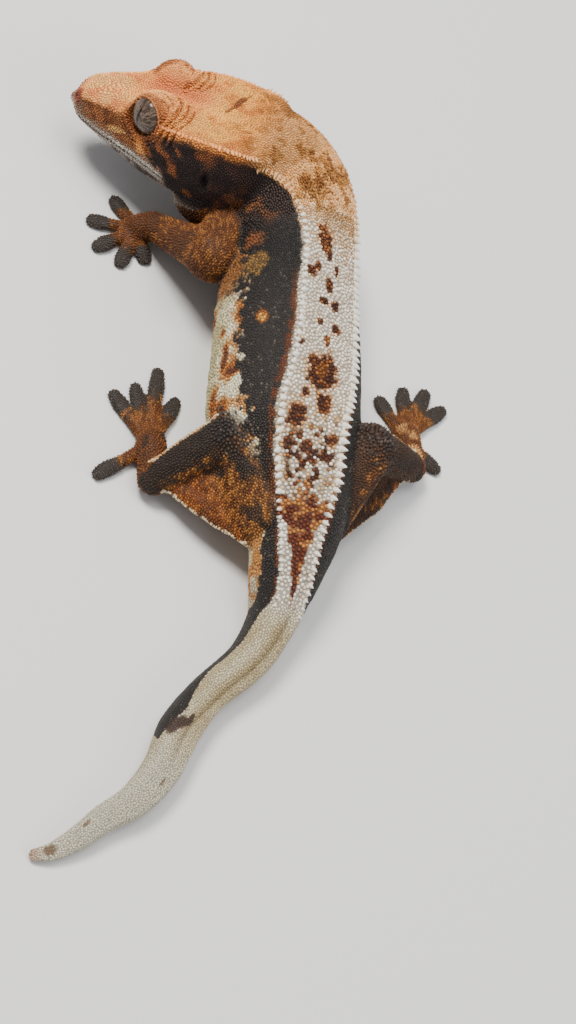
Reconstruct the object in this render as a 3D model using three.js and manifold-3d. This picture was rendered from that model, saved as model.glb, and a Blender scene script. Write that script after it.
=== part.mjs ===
// Crested gecko, a still life-size model in millimetres, +Z up.
// The body lies along +Y on the floor z = 0, the head is turned to the animal's left,
// and the tail is laid behind it. The outline's middle stands over the origin.

import * as THREE from "three";
import { mergeVertices } from "three/addons/utils/BufferGeometryUtils.js";
import Module from "manifold-3d";

const wasm = await Module();
wasm.setup();

// Whole animal
const GAP = 0.3;
const MIDDLE = [-2.05, 13.05];
const FAR = 500;
const WELD = 1e-4;
const NEAR = 0.01;

// Trunk and tail, from the nape to the tip of the tail.
// Each section has its middle, half width, height above, depth below, roll to the right in
// degrees, and the angle of the crest rows from the top of the back.
const TRUNK = [
  { at: [-12.0, 64.8, 16.8], w: 6.5, up: 6.2, down: 6.2, roll: 8, crest: 54 },
  { at: [-7.6, 63.4, 16.7], w: 9.8, up: 8.8, down: 8.6, roll: 8, crest: 54 },
  { at: [-3.2, 60.7, 15.8], w: 10.5, up: 9.2, down: 9.2, roll: 10, crest: 48 },
  { at: [-0.5, 56.6, 14.6], w: 10.5, up: 9.4, down: 9.6, roll: 14, crest: 40 },
  { at: [0.5, 51.4, 13.3], w: 10.5, up: 9.6, down: 9.6, roll: 20.5, crest: 35 },
  { at: [0.4, 45.7, 12.3], w: 10.8, up: 10.0, down: 9.8, roll: 25.5, crest: 33 },
  { at: [0.0, 40.0, 11.6], w: 11.8, up: 10.5, down: 9.9, roll: 24, crest: 31 },
  { at: [0.0, 34.5, 11.0], w: 12.5, up: 10.9, down: 9.8, roll: 21, crest: 29.5 },
  { at: [0.0, 28.8, 10.7], w: 12.8, up: 11.0, down: 9.6, roll: 19, crest: 29 },
  { at: [-0.2, 22.2, 10.4], w: 12.9, up: 11.1, down: 9.4, roll: 15.5, crest: 29 },
  { at: [-0.2, 15.9, 9.9], w: 12.6, up: 11.2, down: 8.9, roll: 8, crest: 29.5 },
  { at: [1.2, 10.0, 9.4], w: 10.4, up: 10.1, down: 8.2, roll: -2, crest: 31 },
  { at: [2.6, 4.2, 8.9], w: 8.5, up: 8.8, down: 7.4, roll: -9, crest: 30.5 },
  { at: [2.7, -0.9, 8.3], w: 7.4, up: 7.3, down: 6.6, roll: -11, crest: 28 },
  { at: [1.9, -5.9, 7.4], w: 6.3, up: 6.0, down: 5.8, roll: -3, crest: 27 },
  { at: [1.1, -11.0, 6.0], w: 5.0, up: 4.9, down: 5.0, roll: 9, crest: 29 },
  { at: [0.2, -15.8, 4.6], w: 3.9, up: 3.9, down: 4.7, roll: 14, crest: 33 },
  { at: [-3.2, -22.2, 3.5], w: 3.4, up: 3.5, down: 3.7, roll: 15, crest: 36 },
  { at: [-9.6, -28.8, 3.0], w: 3.1, up: 3.1, down: 3.2, roll: 20, crest: 38 },
  { at: [-13.8, -35.0, 3.1], w: 3.3, up: 3.2, down: 3.3, roll: 20, crest: 40 },
  { at: [-16.3, -41.4, 2.9], w: 3.0, up: 2.9, down: 3.1, roll: 16, crest: 40 },
  { at: [-19.9, -46.5, 2.5], w: 2.65, up: 2.5, down: 2.7, roll: 10, crest: 40 },
  { at: [-24.6, -50.0, 2.1], w: 2.2, up: 2.1, down: 2.3, roll: 6, crest: 40 },
  { at: [-28.3, -53.3, 1.7], w: 1.85, up: 1.7, down: 1.9, roll: 3, crest: 40 },
  { at: [-31.8, -55.5, 1.3], w: 1.45, up: 1.2, down: 1.5, roll: 0, crest: 40 },
  { at: [-34.3, -56.2, 1.0], w: 1.0, up: 0.8, down: 1.1, roll: 0, crest: 40 },
];
const TRUNK_POWER = 2.25;
const CREST_RIDGE = 0.5;
const CREST_SPREAD = 9;
const CREST_WIDTH = 9;
const TRUNK_END_LENGTH = 0.8;
const TRUNK_SIDES = 22;
const TRUNK_STEPS = 50;

// Where the trunk is parted into nodes, as places along the list above
const NAPE_CUT = { at: [-8.6, 62.9, 16], facing: [-0.84, 0.52, -0.12] };
const TRUNK_CUTS = {
  neck: 3.9,
  torso_front: 8.5,
  torso_rear: 15.0,
  tail_base: 18.0,
  tail_middle: 21.6,
};

// Head, in its own frame: x towards the snout, y to its left, z to its crown
const HEAD_PLACE = [-11.05, 63.63, 17.0];
const HEAD_TURN = 70.4;
const HEAD_DROP = 17.6;
const HEAD_ROLL = 10.0;
const HEAD = [
  { x: 29.1, w: 1.1, up: 1.1, down: 1.0, mid: 1.1 },
  { x: 28.3, w: 2.5, up: 2.4, down: 2.1, mid: 1.3 },
  { x: 26.8, w: 3.8, up: 3.6, down: 3.1, mid: 1.3 },
  { x: 24.5, w: 4.9, up: 4.5, down: 4.0, mid: 1.2 },
  { x: 22.0, w: 5.9, up: 5.3, down: 4.9, mid: 1.0 },
  { x: 19.0, w: 6.9, up: 6.2, down: 5.9, mid: 0.7 },
  { x: 16.0, w: 7.9, up: 7.1, down: 7.0, mid: 0.5 },
  { x: 13.0, w: 9.0, up: 7.7, down: 7.8, mid: 0.4 },
  { x: 10.0, w: 10.0, up: 7.9, down: 8.1, mid: 0.4 },
  { x: 6.5, w: 10.7, up: 7.9, down: 8.1, mid: 0.3 },
  { x: 3.0, w: 10.9, up: 7.8, down: 8.0, mid: 0.2 },
  { x: -1.0, w: 10.7, up: 7.7, down: 8.0, mid: 0.0 },
  { x: -5.0, w: 9.6, up: 7.0, down: 7.6, mid: 0.0 },
  { x: -8.5, w: 6.0, up: 4.6, down: 5.0, mid: 0.0 },
];
const HEAD_POWER_TOP = 3.4;
const HEAD_POWER_LOW = 2.3;
const HEAD_SIDES = 24;
const HEAD_STEPS = 22;
const SNOUT_EASE = 0.9;
const HEAD_ENDS = { front: 0.7, back: 3.5 };
const HALVINGS = 40;
const HEAD_CREST = { angle: 55, spread: 8, height: 1.1, from: 12.5, full: 8 };
const BROW = { x: 13.0, y: 6.0, height: 2.6, ahead: 4.4, behind: 2.4, across: 1.8 };
const NAPE_VALLEY = { x: 13.0, depth: 0.7, along: 4.0, across: 3.2 };
const SNOUT_VALLEY = { x: 19.5, depth: 0.5, along: 4.0, across: 2.2 };

// Eye, its rim, nostril and ear, given for the left side
const EYE = { at: [13.8, 5.3, 6.1], r: 3.5, facing: [0.53, 0.84, 0.08], back: 0.6, sides: 14, steps: 10 };
const ORBIT = { r: 3.85, back: 0.8, sides: 12, steps: 9 };
const LID = { r: 3.3, tube: 0.45, out: 1.5, sides: 5, steps: 14 };
const PIT = { sides: 8, steps: 6 };
const NOSTRIL = { at: [28.0, 2.1, 2.9], r: 0.5, deep: 1.0 };
const EAR = { at: [2.4, 10.3, 0.2], long: 1.7, wide: 0.8, deep: 1.6 };

// Mouth line as x and height on the head, from the tip of the snout to the corner
const MOUTH = [[31, 0.9], [28.6, 0.4], [25.0, -0.2], [20.0, -0.8], [15.0, -1.4], [11.0, -2.2], [9.2, -3.0]];
const THROAT_FOLD = { at: [-12.2, 58.6, 10.7], r: [7.6, 6.0, 6.2], sides: 12, steps: 10 };
const LIP = { r: 0.42, out: 0.06, apart: 0.55, behind: 1.2, ahead: 0.35, taper: 6, steps: 18, sides: 4 };
const JAW_BACK = { x: 8.4, ahead: 0.8, bend: -4.4, slope: 1, low: -12, wide: 30, steps: 14 };

// Legs, given as joints in the model's frame with the radius of the flesh there
const LEFT_ARM = {
  shoulder: { at: [-9.4, 53.6, 10.8], r: 4.5 },
  elbow: { at: [-13.6, 44.9, 12.4], r: 4.4 },
  forearm: { r: 3.1 },
  wrist: { at: [-21.2, 55.2, 3.2], r: 2.3 },
  palm: { at: [-23.2, 55.0, 1.9], r: 2.3 },
  toes: [[-21.6, 49.4], [-26.0, 47.6], [-30.2, 50.0], [-31.4, 55.2], [-27.6, 60.6]],
};
const RIGHT_ARM = {
  shoulder: { at: [3.0, 52.5, 9.2], r: 4.4 },
  elbow: { at: [11.6, 60.4, 5.6], r: 3.3 },
  forearm: { r: 2.9 },
  wrist: { at: [6.6, 72.6, 2.8], r: 2.1 },
  palm: { at: [5.9, 74.6, 1.9], r: 2.2 },
  toes: [[-0.9, 73.4], [0.5, 79.4], [4.2, 82.6], [8.8, 82.0], [13.0, 77.6]],
};
const LEFT_LEG = {
  hip: { at: [-2.2, 0.8, 9.0], r: 5.4 },
  knee: { at: [-8.6, 12.2, 12.9], r: 4.2 },
  shank: { r: 3.4 },
  ankle: { at: [-19.4, 6.2, 3.2], r: 2.4 },
  palm: { at: [-19.6, 13.4, 2.0], r: 2.5 },
  web: { at: [-4.6, -4.6, 7.0], mid: [-13.0, 0.4, 5.4], thick: 0.9 },
  toes: [[-15.3, 22.9], [-18.5, 27.7], [-22.2, 24.2], [-25.8, 22.0], [-27.8, 6.8]],
};
const RIGHT_LEG = {
  hip: { at: [6.4, 2.4, 8.4], r: 5.2 },
  knee: { at: [14.2, 14.4, 11.8], r: 4.2 },
  shank: { r: 3.4 },
  ankle: { at: [26.0, 18.0, 3.2], r: 2.4 },
  palm: { at: [25.6, 24.6, 2.0], r: 2.5 },
  web: { at: [10.0, -1.4, 7.0], mid: [18.4, 7.0, 5.4], thick: 0.9 },
  toes: [[21.4, 31.8], [26.1, 34.5], [30.3, 34.9], [33.5, 32.3], [32.0, 20.0]],
};
const LIMB_SIDES = 10;
const LIMB_STEPS = 7;
const SHANK_TOP = 0.92;
const ANKLE_TILT = 0.5;
const WEB_SIDES = 24;
const WEB_STEPS = 6;
const WEB_FULLNESS = 0.8;

// A toe along its length: share of the way, half width, height of the middle, half height
const TOE = [
  { share: 0.0, w: 1.3, mid: 1.5, h: 1.1 },
  { share: 0.35, w: 1.1, mid: 1.2, h: 0.95 },
  { share: 0.55, w: 1.15, mid: 1.0, h: 0.9 },
  { share: 0.8, w: 1.5, mid: 0.8, h: 0.85 },
  { share: 1.0, w: 1.2, mid: 0.65, h: 0.7 },
];
const TOE_SIDES = 8;
const TOE_STEPS = 7;
const TOE_END = 0.08;

// Crest spines: pitch along the row, length, root radius and how deep the root sits
const SPINE = { pitch: 2.2, long: 1.35, root: 0.62, sunk: 0.7, sides: 4, lean: 0.35 };
const SPINE_SIZES = { small: 0.85, large: 1.15, fullWidth: 9, thinnest: 0.6 };
const SPINE_SHIFT = 0.1;
const HEAD_SPINE_ROW = { from: 11.0, to: -4.0, pitch: 1.9, small: 0.8, way: [-0.35, 0.85, 0.35] };
const BROW_SPINES = { from: 17.0, to: 11.5, inward: 0.12, count: 5, long: 0.9, root: 0.5 };
const BROW_SPINE_WAY = [-0.2, 0.5, 0.85];
const SEEDS = { head: 5, trunk: 11 };
const CREST_START = 1.2;
const CREST_END = 15.6;

// Numbers
function mix(a, b, t) {
  return a + (b - a) * t;
}

function bell(x, spread) {
  return Math.exp(-(x / spread) * (x / spread));
}

function radians(degrees) {
  return THREE.MathUtils.degToRad(degrees);
}

function seeded(seed) {
  let state = seed;
  return function () {
    state = (state * 16807) % 2147483647;
    return state / 2147483647;
  };
}

// A smooth line through values at growing places, with the slope of the neighbours at each
function smooth(places, values, place) {
  const last = places.length - 1;
  let i = 0;
  while (i < last - 1 && place > places[i + 1]) {
    i += 1;
  }
  function slope(k) {
    const low = Math.max(k - 1, 0);
    const high = Math.min(k + 1, last);
    return (values[high] - values[low]) / (places[high] - places[low]);
  }
  const span = places[i + 1] - places[i];
  const t = (place - places[i]) / span;
  const t2 = t * t;
  const t3 = t2 * t;
  const start = (2 * t3 - 3 * t2 + 1) * values[i] + (t3 - 2 * t2 + t) * span * slope(i);
  const end = (3 * t2 - 2 * t3) * values[i + 1] + (t3 - t2) * span * slope(i + 1);
  return start + end;
}

// Solids
function toSolid(geometry) {
  const bare = geometry.clone();
  bare.deleteAttribute("normal");
  bare.deleteAttribute("uv");
  const merged = mergeVertices(bare, WELD);
  const triVerts = [];
  const index = merged.index.array;
  for (let i = 0; i < index.length; i += 3) {
    const [a, b, c] = [index[i], index[i + 1], index[i + 2]];
    if (a !== b && b !== c && c !== a) {
      triVerts.push(a, b, c);
    }
  }
  const mesh = new wasm.Mesh({
    numProp: 3,
    vertProperties: Float32Array.from(merged.attributes.position.array),
    triVerts: Uint32Array.from(triVerts),
  });
  return new wasm.Manifold(mesh);
}

function outward(solid, geometry) {
  return solid.volume() > 0 ? solid : toSolid(flipped(geometry));
}

function flipped(geometry) {
  const turned = geometry.clone();
  const index = turned.index.array;
  for (let i = 0; i < index.length; i += 3) {
    [index[i], index[i + 1]] = [index[i + 1], index[i]];
  }
  return turned;
}

function largest(solid) {
  const pieces = solid.decompose();
  return pieces.reduce((best, piece) => (piece.volume() > best.volume() ? piece : best));
}

function joined(solids) {
  return solids.reduce((whole, solid) => whole.add(solid));
}

// A closed form whose rings follow a function of the share along it and the angle round it
function rounded(sides, steps, place) {
  const geometry = new THREE.SphereGeometry(1, sides, steps);
  const position = geometry.attributes.position;
  const point = new THREE.Vector3();
  for (let ring = 0; ring <= steps; ring += 1) {
    for (let side = 0; side <= sides; side += 1) {
      const isPole = ring === 0 || ring === steps;
      const angle = isPole ? 0 : ((side % sides) / sides) * 2 * Math.PI;
      place(ring / steps, angle, point);
      position.setXYZ(ring * (sides + 1) + side, point.x, point.y, point.z);
    }
  }
  return outward(toSolid(geometry), geometry);
}

// Everything on one side of a plane
function beyond(at, facing) {
  const box = new THREE.BoxGeometry(FAR, FAR, FAR);
  box.translate(0, 0, FAR / 2);
  const turn = new THREE.Quaternion();
  turn.setFromUnitVectors(new THREE.Vector3(0, 0, 1), facing.clone().normalize());
  box.applyQuaternion(turn);
  box.translate(at.x, at.y, at.z);
  return toSolid(box);
}

// Takes a solid apart at a plane, and leaves the gap between the two pieces
function parted(solid, at, facing) {
  const half = facing.clone().normalize().multiplyScalar(GAP / 2);
  const front = solid.intersect(beyond(at.clone().add(half), facing));
  const back = solid.intersect(beyond(at.clone().sub(half), facing.clone().negate()));
  return [front, back];
}

function vector(list) {
  return new THREE.Vector3(list[0], list[1], list[2]);
}

function ellipsoid(at, sizes, turn, sides, steps) {
  const geometry = new THREE.SphereGeometry(1, sides, steps);
  geometry.scale(sizes.x, sizes.y, sizes.z);
  geometry.applyQuaternion(turn);
  geometry.translate(at.x, at.y, at.z);
  return toSolid(geometry);
}

// Radius of a rounded-box section at an angle from its top
function sectionRadius(angle, w, up, down, powerTop, powerLow) {
  const side = Math.abs(Math.sin(angle)) / w;
  const top = Math.cos(angle);
  const power = top > 0 ? powerTop : powerLow;
  const tall = Math.abs(top) / (top > 0 ? up : down);
  return (side ** power + tall ** power) ** (-1 / power);
}

// Axes that look along forward with a roll to the right: [forward, left, up]
function axes(forward, roll) {
  const left = new THREE.Vector3(0, 0, 1).cross(forward).normalize();
  const up = forward.clone().cross(left);
  const turn = new THREE.Quaternion().setFromAxisAngle(forward, roll);
  return [forward, left.applyQuaternion(turn), up.applyQuaternion(turn)];
}

// Trunk
const trunkPlaces = TRUNK.map((_, i) => i);

function trunkValue(name, place) {
  return smooth(trunkPlaces, TRUNK.map((section) => section[name]), place);
}

function trunkMiddle(place) {
  const [x, y, z] = [0, 1, 2].map((k) => smooth(trunkPlaces, TRUNK.map((section) => section.at[k]), place));
  return new THREE.Vector3(x, y, z);
}

function trunkFrame(place) {
  const step = 0.05;
  const low = Math.max(place - step, 0);
  const high = Math.min(place + step, TRUNK.length - 1);
  const forward = trunkMiddle(low).sub(trunkMiddle(high)).normalize();
  return axes(forward, radians(trunkValue("roll", place)));
}

// A point of the trunk's skin; grow adds to it, and the ends close in a half round
function trunkPoint(place, angle, grow) {
  const end = TRUNK.length - 1;
  const inside = Math.min(Math.max(place, 0), end);
  const [w, up, down, crest] = ["w", "up", "down", "crest"].map((name) => trunkValue(name, inside));
  const [forward, left, top] = trunkFrame(inside);
  const turned = angle > Math.PI ? 2 * Math.PI - angle : angle;
  const off = THREE.MathUtils.radToDeg(turned) - crest;
  const ridge = CREST_RIDGE * bell(off, CREST_SPREAD) * Math.min(w / CREST_WIDTH, 1);
  let radius = sectionRadius(angle, w, up, down, TRUNK_POWER, TRUNK_POWER) + ridge + grow;
  const past = Math.abs(place - inside);
  const closing = Math.sqrt(Math.max(1 - past * past, 0));
  const reach = past * (w * TRUNK_END_LENGTH + grow) * (place < 0 ? 1 : -1);
  radius *= closing;
  const point = trunkMiddle(inside).addScaledVector(forward, reach);
  point.addScaledVector(top, radius * Math.cos(angle));
  return point.addScaledVector(left, radius * Math.sin(angle));
}

function trunkSolid(grow) {
  const end = TRUNK.length - 1;
  return rounded(TRUNK_SIDES, TRUNK_STEPS, (share, angle, point) => {
    point.copy(trunkPoint(mix(-1, end + 1, share), angle, grow));
  });
}

// Head
const headTurn = headAxes();

function headAxes() {
  const turn = radians(HEAD_TURN);
  const drop = radians(HEAD_DROP);
  const forward = new THREE.Vector3(
    -Math.sin(turn) * Math.cos(drop),
    Math.cos(turn) * Math.cos(drop),
    -Math.sin(drop),
  );
  return axes(forward, radians(HEAD_ROLL));
}

function fromHead(x, y, z) {
  const [forward, left, up] = headTurn;
  const point = vector(HEAD_PLACE).addScaledVector(forward, x);
  return point.addScaledVector(left, y).addScaledVector(up, z);
}

function headDirection(x, y, z) {
  return fromHead(x, y, z).sub(vector(HEAD_PLACE)).normalize();
}

const headPlaces = HEAD.map((section) => -section.x);

function headValue(name, x) {
  return smooth(headPlaces, HEAD.map((section) => section[name]), -x);
}

function valley(form, along, across) {
  return form.depth * bell(along, form.along) * bell(across, form.across);
}

// A point of the head's skin in the head's frame
function headPoint(x, angle, grow) {
  const first = HEAD[0].x;
  const last = HEAD[HEAD.length - 1].x;
  const inside = Math.min(Math.max(x, last), first);
  const [w, up, down, mid] = ["w", "up", "down", "mid"].map((name) => headValue(name, inside));
  const room = x > first ? HEAD_ENDS.front : HEAD_ENDS.back;
  const past = Math.min(Math.abs(x - inside) / room, 1);
  const turned = angle > Math.PI ? 2 * Math.PI - angle : angle;
  const off = THREE.MathUtils.radToDeg(turned) - HEAD_CREST.angle;
  const share = (HEAD_CREST.from - inside) / (HEAD_CREST.from - HEAD_CREST.full);
  const ridge = HEAD_CREST.height * bell(off, HEAD_CREST.spread) * THREE.MathUtils.clamp(share, 0, 1);
  let radius = sectionRadius(angle, w, up, down, HEAD_POWER_TOP, HEAD_POWER_LOW) + ridge + grow;
  radius *= Math.sqrt(1 - past * past);
  const y = radius * Math.sin(angle);
  let z = mid + radius * Math.cos(angle);
  if (Math.cos(angle) > 0) {
    const length = inside > BROW.x ? BROW.ahead : BROW.behind;
    z += BROW.height * bell(inside - BROW.x, length) * bell(Math.abs(y) - BROW.y, BROW.across);
    z -= valley(SNOUT_VALLEY, inside - SNOUT_VALLEY.x, y);
    z -= valley(NAPE_VALLEY, Math.max(inside - NAPE_VALLEY.x, 0), y);
  }
  return [x, y, z];
}

// Rings stand closer together towards the snout
function headSolid(grow) {
  const front = HEAD[0].x + HEAD_ENDS.front + grow;
  const back = HEAD[HEAD.length - 1].x - HEAD_ENDS.back;
  return rounded(HEAD_SIDES, HEAD_STEPS, (share, angle, point) => {
    const eased = (1 - Math.cos((share * Math.PI) / 2)) ** SNOUT_EASE;
    const [x, y, z] = headPoint(mix(front, back, mix(share, eased, 0.5)), angle, grow);
    point.copy(fromHead(x, y, z));
  });
}

// The y of the head's left side at a given x and height
function headSide(x, height) {
  let low = NEAR;
  let high = Math.PI - NEAR;
  for (let i = 0; i < HALVINGS; i += 1) {
    const middle = (low + high) / 2;
    if (headPoint(x, middle, 0)[2] > height) {
      low = middle;
    } else {
      high = middle;
    }
  }
  return headPoint(x, (low + high) / 2, 0)[1];
}

function mouthHeight(x) {
  const line = MOUTH.map(([place, height]) => [-place, height]);
  return smooth(line.map((entry) => entry[0]), line.map((entry) => entry[1]), -x);
}

// Everything below the mouth line, as an outline pushed across the head
function jawRegion(lift) {
  const shape = new THREE.Shape();
  const steps = JAW_BACK.steps;
  const tip = MOUTH[0][0];
  shape.moveTo(tip, JAW_BACK.low);
  for (let i = 0; i <= steps; i += 1) {
    const x = mix(tip, JAW_BACK.x + JAW_BACK.ahead - lift, i / steps);
    shape.lineTo(x, mouthHeight(Math.max(x, MOUTH[MOUTH.length - 1][0])) + lift);
  }
  shape.lineTo(JAW_BACK.x - lift, JAW_BACK.bend);
  shape.lineTo(JAW_BACK.x - JAW_BACK.slope - lift, JAW_BACK.low);
  const geometry = new THREE.ExtrudeGeometry(shape, { depth: JAW_BACK.wide, bevelEnabled: false });
  geometry.translate(0, 0, -JAW_BACK.wide / 2);
  const position = geometry.attributes.position;
  for (let i = 0; i < position.count; i += 1) {
    const [x, z, y] = [position.getX(i), position.getY(i), position.getZ(i)];
    const point = fromHead(x, y, z);
    position.setXYZ(i, point.x, point.y, point.z);
  }
  const indexed = mergeVertices(geometry.clone().deleteAttribute("normal").deleteAttribute("uv"), WELD);
  return outward(toSolid(indexed), indexed);
}

// A lip round the snout, from one corner of the mouth to the other
function lip(offset) {
  const tip = HEAD[0].x + LIP.ahead;
  const corner = MOUTH[MOUTH.length - 1][0] + LIP.behind;
  function middle(share) {
    const side = share < 0.5 ? 1 : -1;
    const along = 1 - Math.abs(2 * share - 1);
    const x = mix(corner, tip, Math.sin((along * Math.PI) / 2));
    const height = mouthHeight(x) + offset;
    const atTip = Math.abs(share - 0.5) < NEAR / 2;
    return [x, atTip ? 0 : side * (headSide(x, height) + LIP.out), height];
  }
  return rounded(LIP.sides, LIP.steps, (share, angle, point) => {
    const before = fromHead(...middle(Math.max(share - NEAR, 0)));
    const after = fromHead(...middle(Math.min(share + NEAR, 1)));
    const along = after.sub(before).normalize();
    const up = headTurn[2].clone().addScaledVector(along, -headTurn[2].dot(along)).normalize();
    const side = up.clone().cross(along);
    const radius = LIP.r * Math.min(1, Math.sin(share * Math.PI) * LIP.taper);
    point.copy(fromHead(...middle(share)));
    point.addScaledVector(up, radius * Math.cos(angle)).addScaledVector(side, radius * Math.sin(angle));
  });
}

function eyeAxis(side) {
  return headDirection(EYE.facing[0], side * EYE.facing[1], EYE.facing[2]);
}

function eyeSolid(side, grow) {
  const at = fromHead(EYE.at[0], side * EYE.at[1], EYE.at[2]);
  const size = new THREE.Vector3().setScalar(EYE.r + grow);
  const turn = new THREE.Quaternion().setFromUnitVectors(new THREE.Vector3(0, 1, 0), eyeAxis(side));
  const ball = ellipsoid(at, size, turn, EYE.sides, EYE.steps);
  const behind = at.clone().addScaledVector(eyeAxis(side), -EYE.back - grow);
  return ball.intersect(beyond(behind, eyeAxis(side)));
}

function orbit(side) {
  const at = fromHead(EYE.at[0], side * EYE.at[1], EYE.at[2]).addScaledVector(eyeAxis(side), -ORBIT.back);
  const size = new THREE.Vector3().setScalar(ORBIT.r);
  return ellipsoid(at, size, new THREE.Quaternion(), ORBIT.sides, ORBIT.steps);
}

function lidRing(side) {
  const ring = new THREE.TorusGeometry(LID.r, LID.tube, LID.sides, LID.steps);
  ring.applyQuaternion(new THREE.Quaternion().setFromUnitVectors(new THREE.Vector3(0, 0, 1), eyeAxis(side)));
  const at = fromHead(EYE.at[0], side * EYE.at[1], EYE.at[2]).addScaledVector(eyeAxis(side), LID.out);
  ring.translate(at.x, at.y, at.z);
  return toSolid(ring);
}

function pit(at, side, sizes) {
  const place = fromHead(at[0], side * at[1], at[2]);
  const basis = new THREE.Matrix4().makeBasis(...headTurn);
  const turn = new THREE.Quaternion().setFromRotationMatrix(basis);
  return ellipsoid(place, sizes, turn, PIT.sides, PIT.steps);
}

// Spines
function spine(root, direction, long, radius) {
  const cone = new THREE.ConeGeometry(radius, long + SPINE.sunk, SPINE.sides);
  cone.translate(0, (long + SPINE.sunk) / 2 - SPINE.sunk, 0);
  cone.applyQuaternion(new THREE.Quaternion().setFromUnitVectors(new THREE.Vector3(0, 1, 0), direction));
  cone.translate(root.x, root.y, root.z);
  return toSolid(cone);
}

function uneven(pitch, random) {
  return pitch * mix(1 - SPINE_SHIFT, 1 + SPINE_SHIFT, random());
}

// Two rows of crest spines between two places along the trunk
function trunkSpines(from, to, seed) {
  const random = seeded(seed);
  const spines = [];
  for (const side of [1, -1]) {
    let place = from;
    while (place < to) {
      const crest = radians(trunkValue("crest", place));
      const angle = side > 0 ? crest : 2 * Math.PI - crest;
      const root = trunkPoint(place, angle, 0);
      const [forward] = trunkFrame(place);
      const out = root.clone().sub(trunkMiddle(place)).normalize();
      const direction = out.addScaledVector(forward, -SPINE.lean).normalize();
      const thickness = trunkValue("w", place) / SPINE_SIZES.fullWidth;
      const slim = THREE.MathUtils.clamp(thickness, SPINE_SIZES.thinnest, 1);
      const size = slim * mix(SPINE_SIZES.small, SPINE_SIZES.large, random());
      spines.push(spine(root, direction, SPINE.long * size, SPINE.root * size));
      const pace = trunkPoint(place + NEAR, angle, 0).distanceTo(root) / NEAR;
      place += uneven(SPINE.pitch, random) / pace;
    }
  }
  return spines;
}

function headSpines(seed) {
  const random = seeded(seed);
  const spines = [];
  const angle = radians(HEAD_CREST.angle);
  for (const side of [1, -1]) {
    const [wayX, wayY, wayZ] = HEAD_SPINE_ROW.way;
    for (let x = HEAD_SPINE_ROW.from; x > HEAD_SPINE_ROW.to; x -= uneven(HEAD_SPINE_ROW.pitch, random)) {
      const [px, py, pz] = headPoint(x, angle, 0);
      const size = mix(HEAD_SPINE_ROW.small, SPINE_SIZES.large, random());
      const direction = headDirection(wayX, side * wayY, wayZ);
      spines.push(spine(fromHead(px, side * py, pz), direction, SPINE.long * size, SPINE.root * size));
    }
    for (let i = 0; i < BROW_SPINES.count; i += 1) {
      const x = mix(BROW_SPINES.from, BROW_SPINES.to, i / (BROW_SPINES.count - 1));
      const y = BROW.y - BROW_SPINES.inward * (x - BROW.x);
      const z = headPoint(x, Math.atan2(y, headValue("up", x)), 0)[2];
      const [browX, browY, browZ] = BROW_SPINE_WAY;
      const direction = headDirection(browX, side * browY, browZ);
      const size = mix(SPINE_SIZES.small, SPINE_SIZES.large, random());
      const place = fromHead(x, side * y, z);
      spines.push(spine(place, direction, BROW_SPINES.long * size, BROW_SPINES.root * size));
    }
  }
  return spines;
}

// Legs
function bone(from, to, radii, grow) {
  const [start, end] = [vector(from), vector(to)];
  const length = start.distanceTo(end);
  const forward = end.clone().sub(start).normalize();
  const [, left, up] = axes(forward, 0);
  return rounded(LIMB_SIDES, LIMB_STEPS, (share, angle, point) => {
    const along = mix(-radii[0], length + radii[2], share);
    const inside = THREE.MathUtils.clamp(along / length, 0, 1);
    const radius = smooth([0, 0.5, 1], radii, inside) + grow;
    const endRadius = along < 0 ? radii[0] : radii[2];
    const past = Math.min(Math.abs(along - inside * length) / endRadius, 1);
    const here = radius * Math.sqrt(1 - past * past);
    point.copy(start).addScaledVector(forward, along);
    point.addScaledVector(up, here * Math.cos(angle)).addScaledVector(left, here * Math.sin(angle));
  });
}

// A fold of skin behind the knee: a rounded triangle between ankle, knee and the root of the tail
function web(leg) {
  const [knee, ankle, root, mid] = [leg.knee.at, leg.ankle.at, leg.web.at, leg.web.mid].map(vector);
  const normal = ankle.clone().sub(knee).cross(root.clone().sub(knee)).normalize();
  const centre = knee.clone().add(ankle).add(root).add(mid).multiplyScalar(0.25);
  const rim = [knee, ankle, mid, root];
  return rounded(WEB_SIDES, WEB_STEPS, (share, angle, point) => {
    const lap = (angle / (2 * Math.PI)) * rim.length;
    const k = Math.floor(lap) % rim.length;
    const edge = rim[k].clone().lerp(rim[(k + 1) % rim.length], lap - Math.floor(lap));
    const out = Math.sin(share * Math.PI);
    point.copy(centre).lerp(edge, out ** WEB_FULLNESS);
    point.addScaledVector(normal, leg.web.thick * Math.cos(share * Math.PI));
  });
}

function toe(palm, tip) {
  const start = new THREE.Vector3(palm[0], palm[1], 0);
  const end = new THREE.Vector3(tip[0], tip[1], 0);
  const forward = end.clone().sub(start);
  const length = forward.length();
  forward.normalize();
  const left = new THREE.Vector3(-forward.y, forward.x, 0);
  const shares = TOE.map((entry) => entry.share);
  return rounded(TOE_SIDES, TOE_STEPS, (share, angle, point) => {
    const along = mix(-TOE_END, 1 + TOE_END, share);
    const inside = THREE.MathUtils.clamp(along, 0, 1);
    const closing = Math.sqrt(Math.max(1 - ((along - inside) / TOE_END) ** 2, 0));
    const columns = ["w", "mid", "h"].map((name) => TOE.map((entry) => entry[name]));
    const [w, mid, h] = columns.map((column) => smooth(shares, column, inside));
    point.copy(start).addScaledVector(forward, along * length);
    point.addScaledVector(left, w * closing * Math.sin(angle));
    point.z = mid + h * closing * Math.cos(angle);
  });
}

function foot(wrist, palm, toes) {
  const back = bone(wrist.at, palm.at, [wrist.r, (wrist.r + palm.r) / 2, palm.r], 0);
  return joined([back, ...toes.map((tip) => toe(palm.at, tip))]);
}

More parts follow.
